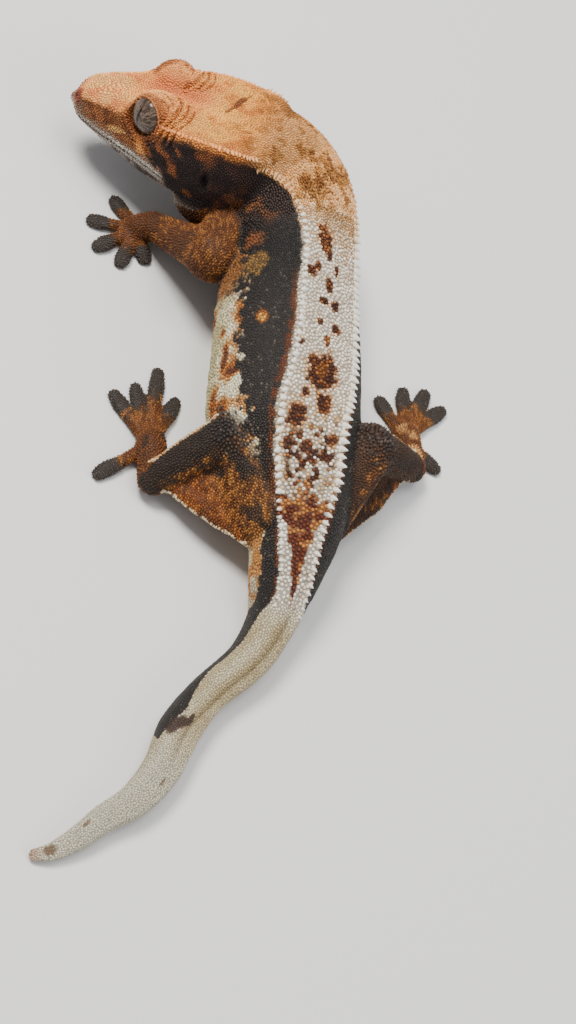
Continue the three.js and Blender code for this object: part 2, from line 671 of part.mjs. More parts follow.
function legPieces(upper, joint, shaft, end, palm, toes, extra) {
  const thigh = bone(upper.at, joint.at, [upper.r, (upper.r + joint.r) / 2, joint.r], 0);
  const shank = bone(joint.at, end.at, [joint.r * SHANK_TOP, shaft.r, end.r], 0);
  const limb = joined([thigh, shank, ...extra]);
  const into = vector(joint.at).sub(vector(upper.at)).normalize();
  const outOf = vector(end.at).sub(vector(joint.at)).normalize();
  const [lower, top] = parted(limb, vector(joint.at), into.add(outOf));
  const ankleFacing = outOf.clone().setZ(outOf.z * ANKLE_TILT);
  const [, middle] = parted(lower, vector(end.at), ankleFacing);
  const whole = foot(end, palm, toes).subtract(grownShank(joint, shaft, end, ankleFacing));
  return [top, middle, whole];
}

// The lower leg and the gap round it, up to the ankle's cut
function grownShank(joint, shaft, end, facing) {
  const grown = bone(joint.at, end.at, [joint.r, shaft.r, end.r], GAP);
  const cut = vector(end.at).addScaledVector(facing.clone().normalize(), GAP / 2);
  return grown.intersect(beyond(cut, facing.clone().negate()));
}

// Assembly
const parts = {};
const floor = beyond(new THREE.Vector3(), new THREE.Vector3(0, 0, -1));

const foldSize = vector(THROAT_FOLD.r);
const grownFold = foldSize.clone().addScalar(GAP);
function throatFold(size) {
  const { at, sides, steps } = THROAT_FOLD;
  return ellipsoid(vector(at), size, new THREE.Quaternion(), sides, steps);
}

const fold = throatFold(foldSize);
const head = joined([headSolid(0), orbit(1), orbit(-1)]);
const trunk = trunkSolid(0).add(fold);
const grownBody = joined([
  headSolid(GAP),
  trunkSolid(GAP),
  throatFold(grownFold),
]);
const spines = [...headSpines(SEEDS.head), ...trunkSpines(CREST_START, CREST_END, SEEDS.trunk)];
const body = joined([head, trunk, ...spines]);

const [headWhole, afterHead] = parted(body, vector(NAPE_CUT.at), vector(NAPE_CUT.facing));
let rest = afterHead;
for (const [name, place] of Object.entries(TRUNK_CUTS)) {
  const [front, back] = parted(rest, trunkMiddle(place), trunkFrame(place)[0]);
  parts[name] = front;
  rest = back;
}
parts.tail_tip = rest;

let skull = joined([headWhole, lidRing(1), lidRing(-1), lip(LIP.apart), lip(-LIP.apart)]);
for (const side of [1, -1]) {
  skull = skull.subtract(eyeSolid(side, GAP));
  skull = skull.subtract(pit(NOSTRIL.at, side, new THREE.Vector3(NOSTRIL.r, NOSTRIL.deep, NOSTRIL.r)));
  skull = skull.subtract(pit(EAR.at, side, new THREE.Vector3(EAR.wide, EAR.deep, EAR.long)));
}
parts.lower_jaw = skull.intersect(jawRegion(-GAP / 2));
parts.head = skull.subtract(jawRegion(GAP / 2));
parts.eye_left = eyeSolid(1, 0);
parts.eye_right = eyeSolid(-1, 0);

const limbs = {
  left_arm: [LEFT_ARM.shoulder, LEFT_ARM.elbow, LEFT_ARM.forearm, LEFT_ARM.wrist, LEFT_ARM],
  right_arm: [RIGHT_ARM.shoulder, RIGHT_ARM.elbow, RIGHT_ARM.forearm, RIGHT_ARM.wrist, RIGHT_ARM],
  left_leg: [LEFT_LEG.hip, LEFT_LEG.knee, LEFT_LEG.shank, LEFT_LEG.ankle, LEFT_LEG],
  right_leg: [RIGHT_LEG.hip, RIGHT_LEG.knee, RIGHT_LEG.shank, RIGHT_LEG.ankle, RIGHT_LEG],
};
const limbNames = {
  arm: ["upper_arm", "forearm", "hand"],
  leg: ["thigh", "shank", "foot"],
};
for (const [limb, [upper, joint, shaft, end, all]] of Object.entries(limbs)) {
  const [side, kind] = limb.split("_");
  const extra = kind === "leg" ? [web(all)] : [];
  const pieces = legPieces(upper, joint, shaft, end, all.palm, all.toes, extra);
  limbNames[kind].forEach((name, i) => {
    parts[`${name}_${side}`] = pieces[i].subtract(grownBody);
  });
}

// Nodes
const colours = {
  head: 0xc98a55,
  neck: 0xc49a6a,
  eye: 0x3c3a36,
  torso: 0xd9cdb8,
  tail: 0xd8cbb4,
  limb: 0x9a6a45,
  jaw: 0xd8d0c4,
};

function colourOf(name) {
  const key = Object.keys(colours).find((word) => name.includes(word));
  return colours[key] ?? colours.limb;
}

function toGeometry(solid) {
  const mesh = solid.getMesh();
  const geometry = new THREE.BufferGeometry();
  geometry.setAttribute("position", new THREE.BufferAttribute(Float32Array.from(mesh.vertProperties), 3));
  geometry.setIndex(new THREE.BufferAttribute(Uint32Array.from(mesh.triVerts), 1));
  return geometry;
}

const gecko = new THREE.Group();
gecko.position.set(-MIDDLE[0], -MIDDLE[1], 0);
for (const [name, solid] of Object.entries(parts)) {
  const whole = largest(solid.subtract(floor));
  const isEye = name.startsWith("eye");
  const material = new THREE.MeshStandardMaterial({
    color: colourOf(name),
    roughness: isEye ? 0.15 : 0.75,
    metalness: 0,
  });
  const mesh = new THREE.Mesh(toGeometry(whole), material);
  mesh.name = name;
  gecko.add(mesh);
}

export default gecko;
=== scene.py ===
# Crested gecko, a still life-size model: its looks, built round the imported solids.
# Lengths are in millimetres in the model's own frame, and placed() turns them into metres.

import math

import bpy
import numpy as np
from mathutils import Matrix, Vector
from mathutils.bvhtree import BVHTree
from mathutils.kdtree import KDTree


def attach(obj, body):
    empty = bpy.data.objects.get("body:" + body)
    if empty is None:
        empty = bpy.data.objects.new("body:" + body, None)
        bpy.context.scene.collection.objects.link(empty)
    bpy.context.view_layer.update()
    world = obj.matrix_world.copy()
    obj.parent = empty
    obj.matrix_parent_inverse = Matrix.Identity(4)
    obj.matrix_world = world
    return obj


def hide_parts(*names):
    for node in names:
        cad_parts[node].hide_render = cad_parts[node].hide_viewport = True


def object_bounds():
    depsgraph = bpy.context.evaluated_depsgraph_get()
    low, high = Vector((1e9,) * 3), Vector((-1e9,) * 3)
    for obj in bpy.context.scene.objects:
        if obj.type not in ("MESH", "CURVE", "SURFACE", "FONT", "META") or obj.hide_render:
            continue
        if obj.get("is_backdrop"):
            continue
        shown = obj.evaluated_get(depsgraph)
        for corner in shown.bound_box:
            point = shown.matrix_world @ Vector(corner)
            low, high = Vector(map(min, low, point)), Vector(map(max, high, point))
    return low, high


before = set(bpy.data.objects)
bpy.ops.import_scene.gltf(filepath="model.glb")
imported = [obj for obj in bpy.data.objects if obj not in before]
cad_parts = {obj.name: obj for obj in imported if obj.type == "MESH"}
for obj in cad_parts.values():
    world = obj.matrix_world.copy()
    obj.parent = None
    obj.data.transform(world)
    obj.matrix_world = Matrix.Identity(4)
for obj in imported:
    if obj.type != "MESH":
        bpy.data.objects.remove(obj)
cad_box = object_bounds()

# Whole animal, with the same sizes as the solids
MIDDLE = np.array([-2.05, 13.05, 0.0])
MM = 0.001
SUNK = -0.12
VOXEL = 0.33

# Trunk and tail: x, y, z, half width, height above, depth below, roll, angle of the crest rows
TRUNK = np.array([
    [-12.0, 64.8, 16.8, 6.5, 6.2, 6.2, 8, 54],
    [-7.6, 63.4, 16.7, 9.8, 8.8, 8.6, 8, 54],
    [-3.2, 60.7, 15.8, 10.5, 9.2, 9.2, 10, 48],
    [-0.5, 56.6, 14.6, 10.5, 9.4, 9.6, 14, 40],
    [0.5, 51.4, 13.3, 10.5, 9.6, 9.6, 20.5, 35],
    [0.4, 45.7, 12.3, 10.8, 10.0, 9.8, 25.5, 33],
    [0.0, 40.0, 11.6, 11.8, 10.5, 9.9, 24, 31],
    [0.0, 34.5, 11.0, 12.5, 10.9, 9.8, 21, 29.5],
    [0.0, 28.8, 10.7, 12.8, 11.0, 9.6, 19, 29],
    [-0.2, 22.2, 10.4, 12.9, 11.1, 9.4, 15.5, 29],
    [-0.2, 15.9, 9.9, 12.6, 11.2, 8.9, 8, 29.5],
    [1.2, 10.0, 9.4, 10.4, 10.1, 8.2, -2, 31],
    [2.6, 4.2, 8.9, 8.5, 8.8, 7.4, -9, 30.5],
    [2.7, -0.9, 8.3, 7.4, 7.3, 6.6, -11, 28],
    [1.9, -5.9, 7.4, 6.3, 6.0, 5.8, -3, 27],
    [1.1, -11.0, 6.0, 5.0, 4.9, 5.0, 9, 29],
    [0.2, -15.8, 4.6, 3.9, 3.9, 4.7, 14, 33],
    [-3.2, -22.2, 3.5, 3.4, 3.5, 3.7, 15, 36],
    [-9.6, -28.8, 3.0, 3.1, 3.1, 3.2, 20, 38],
    [-13.8, -35.0, 3.1, 3.3, 3.2, 3.3, 20, 40],
    [-16.3, -41.4, 2.9, 3.0, 2.9, 3.1, 16, 40],
    [-19.9, -46.5, 2.5, 2.65, 2.5, 2.7, 10, 40],
    [-24.6, -50.0, 2.1, 2.2, 2.1, 2.3, 6, 40],
    [-28.3, -53.3, 1.7, 1.85, 1.7, 1.9, 3, 40],
    [-31.8, -55.5, 1.3, 1.45, 1.2, 1.5, 0, 40],
    [-34.3, -56.2, 1.0, 1.0, 0.8, 1.1, 0, 40],
])
# Its columns; a place on it is a row, or between rows: 4 the shoulders, 12 the hips, 15.5 the tail's root
HALF, ABOVE, BELOW, ROLL, CREST = range(3, 8)
TRUNK_END = len(TRUNK) - 1
TRUNK_POWER = 2.25
CREST_RIDGE = 0.5
CREST_SPREAD = 9
CREST_FULL = 9
END_CAP = 0.8
TAIL_START = 15.5

# Head, in its own frame: x towards the snout, y to its left, z to its crown
HEAD_PLACE = np.array([-11.05, 63.63, 17.0])
HEAD_TURN = math.radians(70.4)
HEAD_DROP = math.radians(17.6)
HEAD_ROLL = math.radians(10.0)
# x, half width, height above, depth below, height of the middle
HEAD = np.array([
    [29.1, 1.1, 1.1, 1.0, 1.1],
    [28.3, 2.5, 2.4, 2.1, 1.3],
    [26.8, 3.8, 3.6, 3.1, 1.3],
    [24.5, 4.9, 4.5, 4.0, 1.2],
    [22.0, 5.9, 5.3, 4.9, 1.0],
    [19.0, 6.9, 6.2, 5.9, 0.7],
    [16.0, 7.9, 7.1, 7.0, 0.5],
    [13.0, 9.0, 7.7, 7.8, 0.4],
    [10.0, 10.0, 7.9, 8.1, 0.4],
    [6.5, 10.7, 7.9, 8.1, 0.3],
    [3.0, 10.9, 7.8, 8.0, 0.2],
    [-1.0, 10.7, 7.7, 8.0, 0.0],
    [-5.0, 9.6, 7.0, 7.6, 0.0],
    [-8.5, 6.0, 4.6, 5.0, 0.0],
])
HEAD_HALF, HEAD_ABOVE, HEAD_BELOW, HEAD_MIDDLE = range(1, 5)
HEAD_POWER_TOP = 3.4
HEAD_POWER_LOW = 2.3
HEAD_CAPS = {"front": 0.7, "back": 3.5}
HEAD_CREST = {"angle": 55, "spread": 8, "height": 1.1, "from": 12.5, "full": 8}
BROW = {"x": 13.0, "y": 6.0, "height": 2.6, "ahead": 4.4, "behind": 2.4, "across": 1.8}
SNOUT_HOLLOW = {"x": 19.5, "depth": 0.5, "long": 4.0, "wide": 2.2}
BROW_DIP = {"x": 13, "depth": 0.7, "long": 4, "wide": 3.2}
EYE_AT = np.array([13.8, 5.3, 6.1])
EYE_FACING = np.array([0.53, 0.84, 0.08])
EYE_R = 3.5
ORBIT_R = 3.85
ORBIT_BACK = 0.8
LID = {"r": 3.3, "out": 1.5, "tube": 0.36, "across": 0.94, "wider": 0.12, "sunk": 0.25}
SOCKET = {"r": 3.1, "gap": 0.35}
FOLDS = {"first": 4.3, "apart": 1.0}
NOSTRIL = np.array([28.0, 2.1, 2.9])
EAR = np.array([2.4, 10.3, 0.2])
MOUTH = np.array([[31, 0.9], [28.6, 0.4], [25, -0.2], [20, -0.8], [15, -1.4], [11, -2.2], [9.2, -3.0]])
FOLD_AT = np.array([-12.2, 58.6, 10.7])
FOLD_R = np.array([7.6, 6.0, 6.2])

# Legs: joints with the radius of the flesh there, and the tips of the toes on the floor
LIMBS = {
    "left_arm": {
        "joints": [[-9.4, 53.6, 10.8], [-13.6, 44.9, 12.4], [-21.2, 55.2, 3.2], [-23.2, 55.0, 1.9]],
        "radii": [4.5, 4.4, 3.1, 2.3, 2.3],
        "toes": [[-21.6, 49.4], [-26.0, 47.6], [-30.2, 50.0], [-31.4, 55.2], [-27.6, 60.6]],
    },
    "right_arm": {
        "joints": [[3.0, 52.5, 9.2], [11.6, 60.4, 5.6], [6.6, 72.6, 2.8], [5.9, 74.6, 1.9]],
        "radii": [4.4, 3.3, 2.9, 2.1, 2.2],
        "toes": [[-0.9, 73.4], [0.5, 79.4], [4.2, 82.6], [8.8, 82.0], [13.0, 77.6]],
    },
    "left_leg": {
        "joints": [[-2.2, 0.8, 9.0], [-8.6, 12.2, 12.9], [-19.4, 6.2, 3.2], [-19.6, 13.4, 2.0]],
        "radii": [5.4, 4.2, 3.4, 2.4, 2.5],
        "toes": [[-15.3, 22.9], [-18.5, 27.7], [-22.2, 24.2], [-25.8, 22.0], [-27.8, 6.8]],
        "web": [[-4.6, -4.6, 7.0], [-13.0, 0.4, 5.4]],
    },
    "right_leg": {
        "joints": [[6.4, 2.4, 8.4], [14.2, 14.4, 11.8], [26.0, 18.0, 3.2], [25.6, 24.6, 2.0]],
        "radii": [5.2, 4.2, 3.4, 2.4, 2.5],
        "toes": [[21.4, 31.8], [26.1, 34.5], [30.3, 34.9], [33.5, 32.3], [32.0, 20.0]],
        "web": [[10.0, -1.4, 7.0], [18.4, 7.0, 5.4]],
    },
}
LEFT_LEG, RIGHT_LEG = 2, 3
WEB_THICK = 0.9
BELOW_JOINT = 0.92
TOE_CAP = 0.08
# Toe along its length: share of the way, half width, height of the middle, half height
TOE = np.array([
    [0.0, 1.3, 1.5, 1.1],
    [0.35, 1.1, 1.2, 0.95],
    [0.55, 1.15, 1.0, 0.9],
    [0.8, 1.5, 0.8, 0.85],
    [1.0, 1.2, 0.65, 0.7],
])

rng = np.random.default_rng(7)


# Numbers
def bell(x, spread):
    """1 at 0, falling to nothing on both sides over the spread."""
    return np.exp(-((x / spread) ** 2))


def step(low, high, x):
    """From 0 at low to 1 at high, smoothly; low may be the larger."""
    t = np.clip((x - low) / (high - low), 0, 1)
    return t * t * (3 - 2 * t)


def unit(v):
    return v / np.maximum(np.linalg.norm(v, axis=-1, keepdims=True), 1e-12)


def smooth(places, values, at):
    """A smooth line through values at growing places, with the slope of the neighbours at each."""
    places = np.asarray(places, float)
    values = np.asarray(values, float)
    at = np.asarray(at, float)
    wide = values.ndim > 1
    run = places[2:] - places[:-2]
    slope = np.empty_like(values)
    slope[1:-1] = (values[2:] - values[:-2]) / (run[:, None] if wide else run)
    slope[0] = (values[1] - values[0]) / (places[1] - places[0])
    slope[-1] = (values[-1] - values[-2]) / (places[-1] - places[-2])
    i = np.clip(np.searchsorted(places, at, side="left") - 1, 0, len(places) - 2)
    span = places[i + 1] - places[i]
    t = (at - places[i]) / span
    if wide:
        t = t[..., None]
        span = span[..., None]
    t2 = t * t
    t3 = t2 * t
    start = (2 * t3 - 3 * t2 + 1) * values[i] + (t3 - 2 * t2 + t) * span * slope[i]
    return start + (3 * t2 - 2 * t3) * values[i + 1] + (t3 - t2) * span * slope[i + 1]


def lattice(cells, seed):
    """Random value of each whole cell, the same each time."""
    x, y, z = (cells[..., k].astype(np.int64) for k in range(3))
    h = (x * 374761393 + y * 668265263 + z * 2147483647 + seed * 1274126177) & 0xFFFFFFFF
    h = ((h ^ (h >> 13)) * 1103515245) & 0xFFFFFFFF
    return ((h ^ (h >> 16)) & 0xFFFF) / 65535.0


def noise(points, size, seed=1):
    """Smooth noise from 0 to 1 with cells of the given size."""
    q = points / size
    base = np.floor(q)
    t = q - base
    t = t * t * (3 - 2 * t)
    total = np.zeros(q.shape[:-1])
    for dx in (0, 1):
        for dy in (0, 1):
            for dz in (0, 1):
                corner = np.array([dx, dy, dz])
                weight = np.prod(np.where(corner == 1, t, 1 - t), axis=-1)
                total += weight * lattice(base + corner, seed)
    return total


def rough_noise(points, size, seed=1):
    total = noise(points, size, seed) + 0.5 * noise(points, size / 2, seed + 1)
    return (total + 0.25 * noise(points, size / 4, seed + 2)) / 1.75


# Frames along the body
def section_radius(angle, w, up, down, power_top, power_low):
    """Radius of a rounded section at an angle from its top."""
    side = np.abs(np.sin(angle)) / w
    top = np.cos(angle)
    power = np.where(top > 0, power_top, power_low)
    tall = np.abs(top) / np.where(top > 0, up, down)
    return (side ** power + tall ** power) ** (-1 / power)


def axes(forward, roll):
    """Forward, left and upward directions, rolled about forward."""
    left = unit(np.cross(np.array([0, 0, 1.0]), forward))
    up = np.cross(forward, left)
    c, s = np.cos(roll)[..., None], np.sin(roll)[..., None]
    turned_left = left * c + np.cross(forward, left) * s
    return forward, turned_left, up * c + np.cross(forward, up) * s


def trunk_value(column, place):
    return smooth(np.arange(len(TRUNK)), TRUNK[:, column], place)


def crest_angle(place):
    """Angle of the crest rows at a place, in degrees."""
    return trunk_value(CREST, np.clip(place, 0, TRUNK_END))


def trunk_middle(place):
    return smooth(np.arange(len(TRUNK)), TRUNK[:, :3], place)


def trunk_frame(place):
    low = np.clip(place - 0.05, 0, TRUNK_END)
    high = np.clip(place + 0.05, 0, TRUNK_END)
    forward = unit(trunk_middle(low) - trunk_middle(high))
    return axes(forward, np.radians(trunk_value(ROLL, place)))


def trunk_radius(place, angle):
    w, up, down, crest = (trunk_value(k, place) for k in (HALF, ABOVE, BELOW, CREST))
    off = np.degrees(np.abs((angle + np.pi) % (2 * np.pi) - np.pi)) - crest
    ridge = CREST_RIDGE * bell(off, CREST_SPREAD) * np.minimum(w / CREST_FULL, 1)
    return section_radius(angle, w, up, down, TRUNK_POWER, TRUNK_POWER) + ridge


def trunk_point(place, angle, grow=0.0):
    inside = np.clip(place, 0, TRUNK_END)
    forward, left, top = trunk_frame(inside)
    past = np.abs(place - inside)
    closing = np.sqrt(np.maximum(1 - past * past, 0))
    reach = past * (trunk_value(HALF, inside) * END_CAP + grow) * np.where(place < 0, 1, -1)
    radius = (trunk_radius(inside, angle) + grow) * closing
    point = trunk_middle(inside) + forward * reach[..., None]
    return point + top * (radius * np.cos(angle))[..., None] + left * (radius * np.sin(angle))[..., None]


SNOUT_WAY = np.array([
    -math.sin(HEAD_TURN) * math.cos(HEAD_DROP),
    math.cos(HEAD_TURN) * math.cos(HEAD_DROP),
    -math.sin(HEAD_DROP),
])
HEAD_BASIS = np.array(axes(SNOUT_WAY, HEAD_ROLL))


def from_head(points):
    return HEAD_PLACE + np.asarray(points, float) @ HEAD_BASIS


def to_head(points):
    return (points - HEAD_PLACE) @ HEAD_BASIS.T


def head_value(column, x):
    return smooth(-HEAD[:, 0], HEAD[:, column], -x)


def head_shape(x, angle, grow=0.0):
    first, last = HEAD[0, 0], HEAD[-1, 0]
    inside = np.clip(x, last, first)
    columns = (HEAD_HALF, HEAD_ABOVE, HEAD_BELOW, HEAD_MIDDLE)
    w, up, down, mid = (head_value(k, inside) for k in columns)
    room = np.where(x > first, HEAD_CAPS["front"], HEAD_CAPS["back"])
    past = np.minimum(np.abs(x - inside) / room, 1)
    off = np.degrees(np.abs((angle + np.pi) % (2 * np.pi) - np.pi)) - HEAD_CREST["angle"]
    share = np.clip((HEAD_CREST["from"] - inside) / (HEAD_CREST["from"] - HEAD_CREST["full"]), 0, 1)
    ridge = HEAD_CREST["height"] * bell(off, HEAD_CREST["spread"]) * share
    radius = section_radius(angle, w, up, down, HEAD_POWER_TOP, HEAD_POWER_LOW) + ridge + grow
    radius = radius * np.sqrt(1 - past * past)
    y = radius * np.sin(angle)
    z = mid + radius * np.cos(angle)
    above = np.cos(angle) > 0
    length = np.where(inside > BROW["x"], BROW["ahead"], BROW["behind"])
    lift = BROW["height"] * bell(inside - BROW["x"], length) * bell(np.abs(y) - BROW["y"], BROW["across"])
    hollow, dip = SNOUT_HOLLOW, BROW_DIP
    lift = lift - hollow["depth"] * bell(inside - hollow["x"], hollow["long"]) * bell(y, hollow["wide"])
    lift = lift - dip["depth"] * bell(np.maximum(inside - dip["x"], 0), dip["long"]) * bell(y, dip["wide"])
    return np.stack([x, y, z + np.where(above, lift, 0)], axis=-1)


def mouth_height(x):
    return smooth(-MOUTH[:, 0], MOUTH[:, 1], -np.clip(x, MOUTH[-1, 0], MOUTH[0, 0]))


# Meshes
def ring_mesh(points):
    """Closed mesh of rings whose first and last ring are single points."""
    rings, sides = points.shape[:2]
    verts = np.concatenate([points[0, :1], points[1:-1].reshape(-1, 3), points[-1, :1]])
    side = np.arange(sides)
    after = (side + 1) % sides
    faces = [np.stack([np.zeros(sides, int), 1 + side, 1 + after], 1)]
    for ring in range(rings - 3):
        a = 1 + ring * sides
        b = a + sides
        faces.append(np.stack([a + side, b + side, b + after], 1))
        faces.append(np.stack([a + side, b + after, a + after], 1))
    last = len(verts) - 1
    a = 1 + (rings - 3) * sides
    faces.append(np.stack([a + side, np.full(sides, last), a + after], 1))
    faces = np.concatenate(faces)
    corners = verts[faces]
    volume = np.einsum("ij,ij->i", corners[:, 0], np.cross(corners[:, 1], corners[:, 2])).sum()
    return verts, faces if volume > 0 else faces[:, ::-1]


def circle(count):
    return np.arange(count) / count * 2 * np.pi


def grid(sides, steps):
    """Shares of the way from one end to the other, closer near the ends, and angles round it."""
    share = (1 - np.cos(np.linspace(0, np.pi, steps + 1))) / 2
    return np.meshgrid(share, circle(sides), indexing="ij")


def ellipsoid(at, sizes, sides=48, steps=32):
    share, angle = grid(sides, steps)
    polar = np.arccos(1 - 2 * share)
    local = np.stack([np.sin(polar) * np.cos(angle), np.sin(polar) * np.sin(angle), np.cos(polar)], -1)
    return ring_mesh(at + local * np.asarray(sizes))


def torus(at, axis, up, big, small, squash, sides=72, tubes=14):
    """Ring round an axis, narrowed across up by squash."""
    first = unit(np.cross(up, axis))
    second = np.cross(axis, first)
    a, b = np.meshgrid(circle(sides), circle(tubes), indexing="ij")
    out = first * squash * np.cos(a)[..., None] + second * np.sin(a)[..., None]
    ring = out * (big + small * np.cos(b))[..., None] + axis * (small * np.sin(b))[..., None]
    i, j = np.meshgrid(np.arange(sides), np.arange(tubes), indexing="ij")
    i2, j2 = (i + 1) % sides, (j + 1) % tubes
    quad = [i * tubes + j, i2 * tubes + j, i2 * tubes + j2, i * tubes + j2]
    quad = np.stack([q.ravel() for q in quad], 1)
    return (at + ring).reshape(-1, 3), np.concatenate([quad[:, [0, 1, 2]], quad[:, [0, 2, 3]]])


def merged(meshes):
    verts, faces, base = [], [], 0
    for v, f in meshes:
        verts.append(v)
        faces.append(f + base)
        base += len(v)
    return np.concatenate(verts), np.concatenate(faces)


def placed(points):
    return (points - MIDDLE) * MM


def make_object(name, verts, tris, colours=None, patches=None):
    """A smooth triangle mesh in metres; patches are the OFBake coordinates of each vertex."""
    mesh = bpy.data.meshes.new(name)
    count = len(tris)
    mesh.vertices.add(len(verts))
    mesh.vertices.foreach_set("co", np.ascontiguousarray(placed(verts), np.float32).ravel())
    mesh.loops.add(count * 3)
    mesh.loops.foreach_set("vertex_index", np.ascontiguousarray(tris, np.int32).ravel())
    mesh.polygons.add(count)
    mesh.polygons.foreach_set("loop_start", np.arange(0, count * 3, 3, dtype=np.int32))
    mesh.polygons.foreach_set("use_smooth", np.ones(count, bool))
    mesh.update(calc_edges=True)
    if colours is not None:
        layer = mesh.color_attributes.new("Tint", "FLOAT_COLOR", "POINT")
        rgba = np.ones((len(verts), 4), np.float32)
        rgba[:, :3] = colours
        layer.data.foreach_set("color", rgba.ravel())
    if patches is not None:
        layer = mesh.uv_layers.new(name="OFBake")
        layer.data.foreach_set("uv", np.ascontiguousarray(patches[tris.ravel()], np.float32).ravel())
    obj = bpy.data.objects.new(name, mesh)
    bpy.context.scene.collection.objects.link(obj)
    return obj


def mesh_arrays(mesh):
    """Vertices and triangles of a Blender mesh."""
    verts = np.empty(len(mesh.vertices) * 3, np.float32)
    mesh.vertices.foreach_get("co", verts)
    mesh.calc_loop_triangles()
    tris = np.empty(len(mesh.loop_triangles) * 3, np.int32)
    mesh.loop_triangles.foreach_get("vertices", tris)
    return verts.reshape(-1, 3).astype(float), tris.reshape(-1, 3).astype(int)


def vertex_normals(verts, tris):
    corner = verts[tris]
    normal = np.cross(corner[:, 1] - corner[:, 0], corner[:, 2] - corner[:, 0])
    total = np.zeros_like(verts)
    for k in range(3):
        for axis in range(3):
            total[:, axis] += np.bincount(tris[:, k], normal[:, axis], len(verts))
    return unit(total)


class Smoother:
    """Moves each vertex towards the middle of its neighbours."""

    def __init__(self, tris, count):
        edges = np.concatenate([tris[:, [0, 1]], tris[:, [1, 2]], tris[:, [2, 0]]])
        edges = np.unique(np.sort(edges, axis=1), axis=0)
        self.a, self.b, self.count = edges[:, 0], edges[:, 1], count
        self.degree = np.maximum(np.bincount(edges.ravel(), minlength=count), 1)

    def pull(self, values):
        total = np.empty_like(values)
        for k in range(values.shape[1]):
            total[:, k] = np.bincount(self.a, values[self.b, k], self.count)
            total[:, k] += np.bincount(self.b, values[self.a, k], self.count)
        return total / self.degree[:, None] - values


# Flesh, on grids of sides and rings
TRUNK_GRID = (120, 900)
HEAD_GRID = (120, 240)
BONE_GRID = (40, 48)
WEB_GRID = (64, 24)
TOE_GRID = (32, 64)


def bone_mesh(start, end, radii, grow):
    start, end = np.asarray(start, float), np.asarray(end, float)
    length = np.linalg.norm(end - start)
    forward, left, up = axes(unit(end - start), 0.0)
    share, angle = grid(*BONE_GRID)
    along = -radii[0] + share * (length + radii[2] + radii[0])
    inside = np.clip(along / length, 0, 1)
    end_radius = np.where(along < 0, radii[0], radii[2])
    past = np.minimum(np.abs(along - inside * length) / end_radius, 1)
    radius = (smooth([0, 0.5, 1], radii, inside) + grow) * np.sqrt(1 - past * past)
    points = start + forward * along[..., None] + up * (radius * np.cos(angle))[..., None]
    return ring_mesh(points + left * (radius * np.sin(angle))[..., None])


def web_mesh(limb):
    knee, ankle = np.array(limb["joints"][1]), np.array(limb["joints"][2])
    root, mid = (np.array(p) for p in limb["web"])
    normal = unit(np.cross(ankle - knee, root - knee))
    centre = (knee + ankle + root + mid) / 4
    rim = np.array([knee, ankle, mid, root])
    share, angle = grid(*WEB_GRID)
    lap = angle / (2 * np.pi) * 4
    k = np.floor(lap).astype(int) % 4
    edge = rim[k] + (rim[(k + 1) % 4] - rim[k]) * (lap - np.floor(lap))[..., None]
    polar = np.arccos(1 - 2 * share)
    out = np.sin(polar) ** 0.8
    points = centre + (edge - centre) * out[..., None]
    return ring_mesh(points + normal * (WEB_THICK * np.cos(polar))[..., None])


def toe_frame(palm, tip):
    start = np.array([palm[0], palm[1], 0.0])
    end = np.array([tip[0], tip[1], 0.0])
    forward = unit(end - start)
    return start, forward, np.array([-forward[1], forward[0], 0.0]), np.linalg.norm(end - start)


def toe_mesh(palm, tip, grow):
    start, forward, left, length = toe_frame(palm, tip)
    share, angle = grid(*TOE_GRID)
    along = -TOE_CAP + share * (1 + 2 * TOE_CAP)
    inside = np.clip(along, 0, 1)
    closing = np.sqrt(np.maximum(1 - ((along - inside) / TOE_CAP) ** 2, 0))
    w, mid, h = (smooth(TOE[:, 0], TOE[:, k], inside) for k in (1, 2, 3))
    points = start + forward * (along * length)[..., None]
    points = points + left * ((w + grow) * closing * np.sin(angle))[..., None]
    points[..., 2] = mid + (h + grow) * closing * np.cos(angle)
    return ring_mesh(points)


def limb_meshes(limb, grow):
    shoulder, joint, ankle, palm = limb["joints"]
    r = limb["radii"]
    pieces = [
        bone_mesh(shoulder, joint, [r[0], (r[0] + r[1]) / 2, r[1]], grow),
        bone_mesh(joint, ankle, [r[1] * BELOW_JOINT, r[2], r[3]], grow),
        bone_mesh(ankle, palm, [r[3], (r[3] + r[4]) / 2, r[4]], grow),
    ]
    pieces += [toe_mesh(palm, tip, grow) for tip in limb["toes"]]
    if "web" in limb:
        pieces.append(web_mesh(limb))
    return pieces


def eye_place(side):
    """Middle, axis, upward and backward directions of an eye in the model's frame."""
    flip = np.array([1, side, 1])
    at = from_head(EYE_AT * flip)
    axis = unit(EYE_FACING * flip) @ HEAD_BASIS
    up = unit(HEAD_BASIS[2] - axis * (HEAD_BASIS[2] @ axis))
    back = unit(np.cross(up, axis) * side)
    return at, axis, up, back


